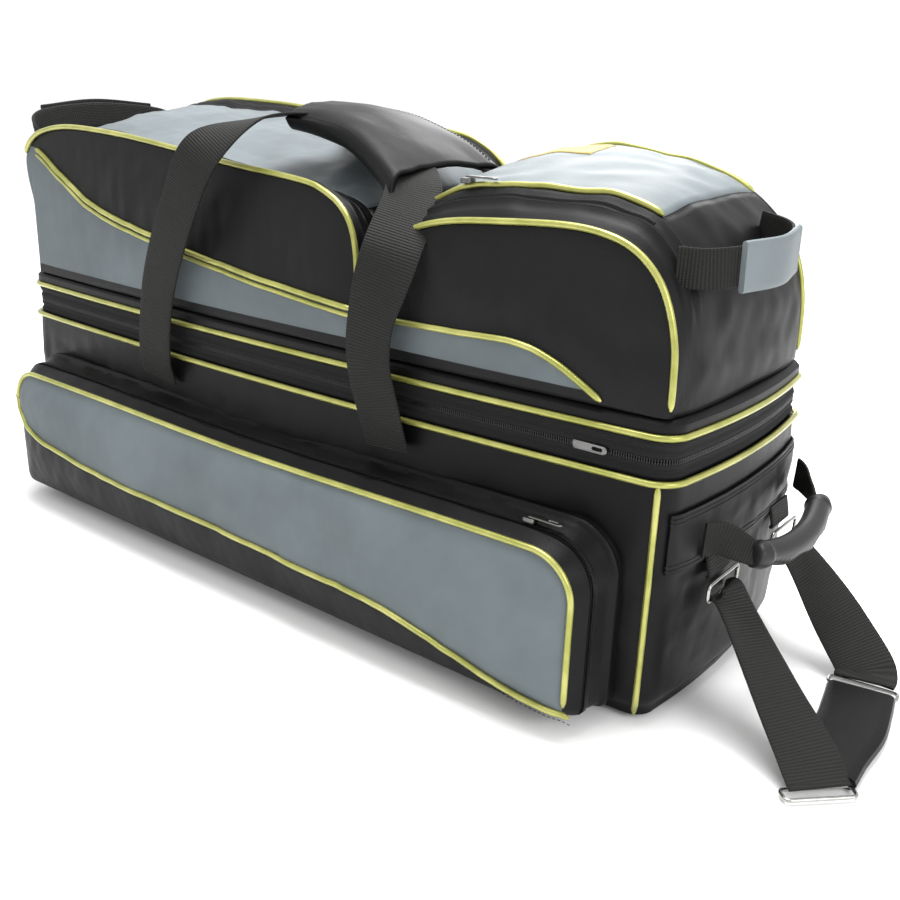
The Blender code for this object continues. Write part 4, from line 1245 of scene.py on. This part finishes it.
def make_pull_strap():
    """Ring tabs on the case, two rings, two webbing legs, a padded sleeve and two buckles."""
    for name, y in (("front", -0.055), ("rear", 0.077)):
        low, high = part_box(f"ring_tab_{name}")
        ring_low, ring_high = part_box(f"pull_ring_{name}")
        x, z = (ring_low[0] + ring_high[0]) / 2, (ring_low[2] + ring_high[2]) / 2
        wire = ring_high[0] - ring_low[0]
        wire_loop(f"pull_{name}_ring", f"pull_ring_{name}", (0.060, 0.018), wire,
                  lambda a, b, x=x, y=y, z=z: (x, y + a, z + b), "pull_strap")
        tab = [((low[0] - 0.0005, y, high[2] + 0.004), (0, 1, 0)),
               ((low[0] + 0.0022, y, (low[2] + high[2]) / 2), (0, 1, 0)),
               ((low[0] + 0.0034, y, low[2]), (0, 1, 0)),
               ((low[0] + 0.0016, y, low[2] - 0.0012), (0, 1, 0))]
        strap(f"ring_tab_webbing_{name}", tab, "case", 0.040, 0.0030,
              stands_for=[f"ring_tab_{name}"])
    level, slant, skew = (0, 1, 0), (0.35, 0.9, 0), (0.70, 0.70, 0)
    front = [((0.4500, -0.055, 0.1060), level), ((0.4545, -0.055, 0.1050), level),
             ((0.474, -0.063, 0.087), level), ((0.518, -0.086, 0.047), slant),
             ((0.548, -0.104, 0.024), skew), ((0.563, -0.1155, 0.0115), skew),
             ((0.5680, -0.1200, 0.0088), skew)]
    rear = [((0.4500, 0.077, 0.1060), level), ((0.4545, 0.077, 0.1050), level),
            ((0.476, 0.077, 0.085), (0.2, 1, 0.1)), ((0.515, 0.073, 0.042), (0.75, 0.65, 0.1)),
            ((0.5445, 0.0580, 0.0170), (1, 0.2, 0)), ((0.5480, 0.0440, 0.0120), (1, 0.12, 0))]
    for name, route in (("front", front), ("rear", rear)):
        strap(f"pull_webbing_{name}", route, "pull_strap", WEB_WIDTH, WEB_THICKNESS, steps=20,
              stands_for=[f"pull_strap_{name}"])
    pad = [((0.5600, -0.100, 0.0072), (0.80, 0.58, 0)), ((0.5590, -0.070, 0.0070), (0.95, 0.35, 0)),
           ((0.5600, -0.030, 0.0070), (1, 0.15, 0)), ((0.5550, 0.005, 0.0070), (1, 0.13, 0)),
           ((0.5500, 0.032, 0.0072), (1, 0.12, 0))]
    sleeve = strap("pull_strap_sleeve", pad, "pull_strap", 0.056, 0.0105, BLACK_NYLON, steps=18,
                   stands_for=["pull_strap_pad"])
    for name, centre, turn in (("lower", (0.5675, -0.1205, 0.0040), 45),
                               ("upper", (0.5485, 0.0425, 0.0060), 7)):
        c, s = math.cos(math.radians(turn)), math.sin(math.radians(turn))
        low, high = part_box(f"pull_buckle_{name}")
        wire = high[2] - low[2]
        z = (low[2] + high[2]) / 2
        wire_loop(f"pull_strap_{name}_buckle", f"pull_buckle_{name}", (0.060, 0.016), wire,
                  lambda a, b, m=centre, z=z, c=c, s=s: (m[0] + a * c - b * s,
                                                         m[1] + a * s + b * c, z), "pull_strap")


# ---- zip sliders -----------------------------------------------------------------------
def rounded_block(low, high, edge):
    """A soft-edged block: a superellipse ring, carried up and drawn in at both ends."""
    low, high = np.asarray(low, float), np.asarray(high, float)
    centre, half = (low + high) / 2, (high - low) / 2
    turn = np.linspace(0, 2 * math.pi, 40, endpoint=False)
    power = 0.35
    ring = np.stack([np.sign(np.cos(turn)) * np.abs(np.cos(turn)) ** power,
                     np.sign(np.sin(turn)) * np.abs(np.sin(turn)) ** power], -1)
    steps = np.radians(np.linspace(0, 90, 5))
    levels = [(-half[2] + edge * (1 - math.sin(a)), edge * (1 - math.cos(a))) for a in steps[::-1]]
    levels = levels + [(-z, drawn) for z, drawn in levels[::-1]]
    rows = [np.c_[ring * (half[:2] - drawn), np.full(len(ring), z)] for z, drawn in levels]
    return np.array(rows) + centre


def block_piece(name, low, high, edge, material, body, **more):
    points = rounded_block(low, high, edge)
    cloth = points[..., (0, 1)] + points[..., (2, 2)]
    return make_piece(name, points, capped_rings(*points.shape[:2]), material, body, cloth=cloth,
                      **more)


def make_zip_sliders():
    """Plated slider bodies, and pulls with a hole."""
    for zip_name in ("main_zip", "pocket_zip", "right_flap_zip", "left_flap_zip"):
        low, high = box_of(f"{zip_name}_slider")
        block_piece(f"{zip_name}_slider_body", low, high, 0.0010, GUNMETAL, f"{zip_name}_slider",
                    stands_for=[f"{zip_name}_slider"])
        low, high = box_of(f"{zip_name}_pull")
        thin = int(np.argmin(high - low))
        wide = 3 - thin
        reach = high[0] - low[0]
        half = (high[wide] - low[wide]) / 2
        count = 48
        turn = np.linspace(0, 2 * math.pi, count, endpoint=False)
        outer = np.stack([np.cos(turn), np.sin(turn)], -1) * half
        outer[:, 0] = np.where(outer[:, 0] > 0, outer[:, 0] + reach / 2 - half,
                               outer[:, 0] * 0.4 - reach / 2 + half * 0.4)
        waist = 1 - 0.25 * np.exp(-((outer[:, 0] + reach * 0.05) / 0.006) ** 2)
        outer[:, 1] *= waist
        inner = np.stack([np.cos(turn) * half * 0.5, np.sin(turn) * half * 0.45], -1)
        inner[:, 0] = np.where(inner[:, 0] > 0, inner[:, 0] + reach * 0.32,
                               inner[:, 0] + reach * 0.12)
        middle = (low + high) / 2
        depth = (high[thin] - low[thin]) / 2
        rows = []
        for ring, level in ((inner, -0.7), (inner, 0.7), (outer * 0.96, 1.0), (outer, 0.5),
                            (outer, -0.5), (outer * 0.96, -1.0)):
            row = np.zeros((count, 3))
            row[:, 0], row[:, wide] = ring[:, 0], ring[:, 1]
            row[:, thin] = level * depth
            rows.append(row + middle)
        points = np.array(rows)
        faces = grid_faces(len(rows), count, True, True)
        make_piece(f"{zip_name}_pull_tab", points, faces, GUNMETAL, f"{zip_name}_pull",
                   stands_for=[f"{zip_name}_pull"])


# ---- base and wheels -------------------------------------------------------------------
def turned_piece(name, profile, centre, material, body, steps=72, **more):
    """A closed (radius, distance along Y) profile turned about Y."""
    profile = np.asarray(profile, float)
    turn = np.linspace(0, 2 * math.pi, steps, endpoint=False)
    radius = profile[:, :1] + 0 * turn
    points = np.stack([radius * np.cos(turn), np.broadcast_to(profile[:, 1:], radius.shape),
                       radius * np.sin(turn)], -1) + np.asarray(centre)
    faces = grid_faces(len(profile), steps, True, True)
    return make_piece(name, points, faces, material, body, cloth=cloth_of(points), **more)


def make_wheels():
    """Two rubber wheels with a crowned tread, spoked hubs, ball bearings and a steel axle."""
    for name in ("front", "rear"):
        low, high = box_of(f"wheel_{name}_tyre")
        centre, half = (low + high) / 2, (high[1] - low[1]) / 2
        radius = (high[0] - low[0]) / 2
        shoulder = ellipse((radius - 0.005, half - 0.005), (0.0045, 0.005), 90, 0, 8)
        crown = [(radius - 0.0005, half * 0.5), (radius, half * 0.3), (radius - 0.0008, half * 0.27),
                 (radius - 0.0008, half * 0.20), (radius, half * 0.17), (radius, 0.0)]
        side = np.vstack([[(0.0335, half * 0.90), (radius - 0.008, half - 0.0003)], shoulder, crown])
        profile = np.vstack([side, side[::-1][1:] * (1, -1)])
        turned_piece(f"wheel_{name}_tread", profile, centre, TREAD, f"wheel_{name}",
                     stands_for=[f"wheel_{name}_tyre"])
        rim = [(0.0332, half * 0.86), (0.0290, half * 0.84), (0.0270, 0.0052), (0.0240, 0.0042),
               (0.0170, 0.0042), (0.0142, 0.0060), (0.0136, half * 0.93), (0.0109, half * 0.93)]
        profile = np.array(rim + [(r, -y) for r, y in rim[::-1]])
        hub = turned_piece(f"wheel_{name}_spoked_hub", profile, centre, HUB, f"wheel_{name}", 90,
                           stands_for=[f"wheel_{name}_hub"])
        mesh = hub.data
        place = np.zeros(len(mesh.vertices) * 3)
        mesh.vertices.foreach_get("co", place)
        place = place.reshape(-1, 3) - centre
        around = np.arctan2(place[:, 2], place[:, 0])
        reach = np.hypot(place[:, 0], place[:, 2])
        web = (reach > 0.0165) & (reach < 0.0275) & (np.abs(place[:, 1]) < 0.006)
        spoke = np.clip(np.cos(around * 6) * 3 + 0.4, -1, 1)
        place[web, 1] *= (1 + 0.55 * spoke[web])
        mesh.vertices.foreach_set("co", (place + centre).ravel())
        mesh.update()
        wide = half * 0.97
        race = [(0.0104, wide), (0.0090, wide), (0.0086, wide - 0.0008), (0.0064, wide - 0.0008),
                (0.0060, wide), (0.0043, wide)]
        profile = np.array(race + [(r, -y) for r, y in race[::-1]])
        turned_piece(f"wheel_{name}_ball_bearing", profile, centre, STEEL, f"wheel_{name}", 60,
                     stands_for=[f"wheel_{name}_bearing"])
    low, high = box_of("wheel_axle")
    centre, half = (low + high) / 2, (high[1] - low[1]) / 2
    radius = (high[0] - low[0]) / 2
    rod = [(radius, half - 0.0008), (radius - 0.0008, half), (0.0003, half)]
    profile = np.array([(r, -y) for r, y in rod[::-1]] + rod)
    turned_piece("wheel_axle_rod", profile, centre, STEEL, "case", 40, stands_for=["wheel_axle"])


def make_wheel_housing():
    """The moulded end: the bag's own plan, hollowed, with a well cut for each wheel."""
    low, high = box_of("wheel_housing")
    ring = plan_ring()
    ring = ring[ring[:, 0] < high[0]]
    order = np.argsort(np.arctan2(ring[:, 1], -(ring[:, 0] + 0.36)))
    ring = ring[order]
    levels = [(0.004, low[2] - 0.004), (0.0008, low[2]), (0.0, low[2] + 0.004),
              (0.0, high[2] - 0.006), (0.0012, high[2] - 0.0012), (0.0030, high[2])]
    inward = unit(np.array([-0.36, 0.0]) - ring)
    rows = np.array([np.c_[ring + inward * inset, np.full(len(ring), z)] for inset, z in levels])
    faces = capped_rings(*rows.shape[:2])
    housing = make_piece("moulded_wheel_housing", rows, faces, MOULDED, "case",
                         cloth=rows[..., (1, 2)], stands_for=["wheel_housing"], sharp=30.0)
    cutters = [block_piece("housing_cavity", (-0.425, -0.074, -0.05), (-0.345, 0.074, 0.095),
                           0.004, MOULDED, None)]
    for name in ("front", "rear"):
        tyre_low, tyre_high = box_of(f"wheel_{name}_tyre")
        centre, radius = (tyre_low + tyre_high) / 2, (tyre_high[0] - tyre_low[0]) / 2 + 0.004
        wide = 0.0170
        profile = [(0.0005, -wide), (radius, -wide), (radius, wide), (0.0005, wide)]
        cutters.append(turned_piece(f"well_{name}", profile, centre, MOULDED, None))
        low_corner = (-0.50, centre[1] - wide, -0.05)
        high_corner = (centre[0] + radius, centre[1] + wide, centre[2])
        cutters.append(block_piece(f"well_mouth_{name}", low_corner, high_corner, 0.0005,
                                   MOULDED, None))
    for cutter in cutters:
        cut = housing.modifiers.new(cutter.name, "BOOLEAN")
        cut.operation, cut.solver, cut.object = "DIFFERENCE", "EXACT", cutter
    baked(housing).data.set_sharp_from_angle(angle=math.radians(30))
    for cutter in cutters:
        bpy.data.objects.remove(cutter, do_unlink=True)


def make_skid_rails():
    """Moulded runners: a rounded block for each."""
    for name in ("front", "centre", "rear"):
        low, high = box_of(f"skid_rail_{name}")
        block_piece(f"skid_runner_{name}", low, high, 0.0028, SKID, "case",
                    stands_for=[f"skid_rail_{name}"])


def make_ball_bays():
    """Felt cups with a round seat for each ball, and quilted dividers between them."""
    for name in ("left", "middle", "right"):
        low, high = box_of(f"ball_cup_{name}")
        centre = (low + high) / 2
        size = 60
        x, y = np.meshgrid(np.linspace(low[0], high[0], size), np.linspace(low[1], high[1], size),
                           indexing="ij")
        reach = np.hypot(x - centre[0], y)
        seat = low[2] + 0.006 + 0.110 - np.sqrt(np.maximum(0.110 ** 2 - reach ** 2, 0))
        edge = np.minimum(np.minimum(x - low[0], high[0] - x), np.minimum(y - low[1], high[1] - y))
        round_off = 0.004 * (1 - np.clip(edge / 0.006, 0, 1)) ** 2
        top = np.minimum(seat, high[2]) - round_off + 0.0004 * ripple(np.stack([x, y, x * 0], -1),
                                                                    0.03, 81)
        upper = np.stack([x, y, top], -1).reshape(-1, 3)
        rim = grid_rim(size, size)
        foot = upper[rim].copy()
        foot[:, 2] = low[2]
        points = np.vstack([upper, foot])
        base = size * size
        ring = np.arange(len(rim))
        after = (ring + 1) % len(rim)
        skirt = np.stack([rim[ring], base + ring, base + after, rim[after]], -1)
        faces = grid_faces(size, size).tolist() + skirt.tolist() + [(base + ring).tolist()]
        make_piece(f"ball_seat_{name}", points, faces, FOAM, "case", cloth=points[:, :2],
                   stands_for=[f"ball_cup_{name}"])
    for name in ("left", "right"):
        low, high = box_of(f"ball_divider_{name}")
        y, z = np.meshgrid(np.linspace(low[1], high[1], 70), np.linspace(low[2], high[2], 50),
                           indexing="ij")
        edge = np.minimum(np.minimum(y - low[1], high[1] - y), np.minimum(z - low[2], high[2] - z))
        quilt = 0.5 + 0.5 * np.cos((y - low[1]) * 2 * math.pi / 0.0565)
        half = (high[0] - low[0]) / 2 * (0.30 + 0.70 * np.sqrt(1 - (1 - np.clip(edge / 0.014, 0, 1))
                                                              ** 2)) - 0.0016 * quilt ** 6
        centre = (low[0] + high[0]) / 2
        front = np.stack([centre - half, y, z], -1)
        back = np.stack([centre + half, y, z], -1)
        rows, columns = y.shape
        rim = grid_rim(rows, columns)
        after = np.roll(rim, -1)
        offset = rows * columns
        sides = np.stack([rim, after, after + offset, rim + offset], -1)
        faces = np.vstack([grid_faces(rows, columns), grid_faces(rows, columns) + offset, sides])
        points = np.vstack([front.reshape(-1, 3), back.reshape(-1, 3)])
        board = make_piece(f"quilted_divider_{name}", points, faces, LINING, "case",
                           cloth=points[:, 1:], stands_for=[f"ball_divider_{name}"])


def make_badge():
    """A plain sewn patch on the right top panel: a blank oblong with a raised border."""
    unit_ = RIGHT_UNIT
    u = np.linspace(unit_.column_at(0.190), unit_.column_at(0.262), 50)
    v = np.linspace(0.10, 0.50, 40)
    grid_u, grid_v = np.meshgrid(u, v, indexing="ij")
    across = np.minimum(np.linspace(0, 1, 50), np.linspace(1, 0, 50))[:, None] * 2
    down = np.minimum(np.linspace(0, 1, 40), np.linspace(1, 0, 40))[None] * 2
    rim = np.exp(-((np.minimum(across * 0.9, down) - 0.12) / 0.07) ** 2)
    face = unit_.strip(grid_u, grid_v)
    top = face + (0, 0, 0.0009) + np.stack([0 * rim, 0 * rim, rim * 0.0008], -1)
    patch = make_piece("plain_sewn_patch", top, grid_faces(50, 40), BADGE, None,
                       cloth=cloth_of(top), closed=False)
    thickened(patch, 0.0012, (0.25, 0, 0.3))
    fold(unit_, patch)


def finish_frame_parts():
    """Gives the moulded tray, which stays as it is, its own finish."""
    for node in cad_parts.values():
        if not node.hide_render:
            node.data.materials.clear()
            node.data.materials.append(MOULDED)


# ---- camera, light and floor -----------------------------------------------------------
def make_camera():
    """Looks down along the bag from the pull end; a lens of 40.5 mm on a 36 mm wide frame."""
    data = bpy.data.cameras.new("camera")
    data.lens, data.sensor_width = 40.53, 36.0
    camera = bpy.data.objects.new("camera", data)
    bpy.context.scene.collection.objects.link(camera)
    yaw, pitch, roll = (math.radians(angle) for angle in (-37.7, 20.01, 1.76))
    ahead = Vector((math.sin(yaw) * math.cos(pitch), math.cos(yaw) * math.cos(pitch),
                    -math.sin(pitch)))
    level = Vector((math.cos(yaw), -math.sin(yaw), 0))
    upright = level.cross(ahead)
    right = level * math.cos(roll) + upright * math.sin(roll)
    up = upright * math.cos(roll) - level * math.sin(roll)
    matrix = Matrix((right, up, -ahead)).transposed().to_4x4()
    matrix.translation = (0.7253, -0.7835, 0.4918)
    camera.matrix_world = matrix
    bpy.context.scene.camera = camera


def area_light(name, place, target, size, power):
    data = bpy.data.lights.new(name, "AREA")
    data.shape, data.size, data.energy = "DISK", size, power
    lamp = bpy.data.objects.new(name, data)
    lamp.location = place
    lamp.rotation_euler = (Vector(target) - Vector(place)).to_track_quat("-Z", "Y").to_euler()
    bpy.context.scene.collection.objects.link(lamp)


def make_studio():
    """A pale floor under soft light from above, the pull end and behind."""
    world = bpy.data.worlds.new("studio")
    bpy.context.scene.world = world
    world.use_nodes = True
    background = world.node_tree.nodes["Background"]
    background.inputs["Color"].default_value = (1.0, 1.0, 1.0, 1.0)
    background.inputs["Strength"].default_value = 1.09
    bpy.context.scene.view_settings.view_transform = "Standard"
    mesh = bpy.data.meshes.new("floor")
    reach = 40.0
    mesh.from_pydata([(-reach, -reach, 0), (reach, -reach, 0), (reach, reach, 0),
                      (-reach, reach, 0)], [], [(0, 1, 2, 3)])
    floor = bpy.data.objects.new("floor", mesh)
    paper = Finish("pale_floor", (0.93, 0.93, 0.93), 0.85)
    mottle = paper.noise(3.0)
    paper.set("Base Color", paper.blend(mottle * 0.2, (0.95, 0.95, 0.95), (0.92, 0.92, 0.925)))
    mesh.materials.append(paper.material)
    bpy.context.scene.collection.objects.link(floor)
    area_light("top_softbox", (0.0, 0.25, 2.3), (0, 0, 0.2), 1.5, 90)
    area_light("pull_end_softbox", (2.0, -0.5, 1.1), (0.3, 0, 0.25), 0.9, 16)
    area_light("rear_softbox", (-0.8, 2.0, 1.3), (0, 0, 0.3), 1.2, 18)


def main():
    make_studio()
    make_camera()
    make_ball_compartment()
    make_body_piping()
    make_main_zip()
    make_rear_hinge()
    make_lid_deck()
    make_end_band()
    make_pocket_gusset()
    make_pocket_panel()
    make_pocket_piping()
    make_compartments()
    make_carry_handles()
    make_loop_handles()
    make_grip_wrap()
    make_end_handle()
    make_pull_strap()
    make_zip_sliders()
    make_wheels()
    make_wheel_housing()
    make_skid_rails()
    make_ball_bays()
    make_badge()
    finish_frame_parts()


main()
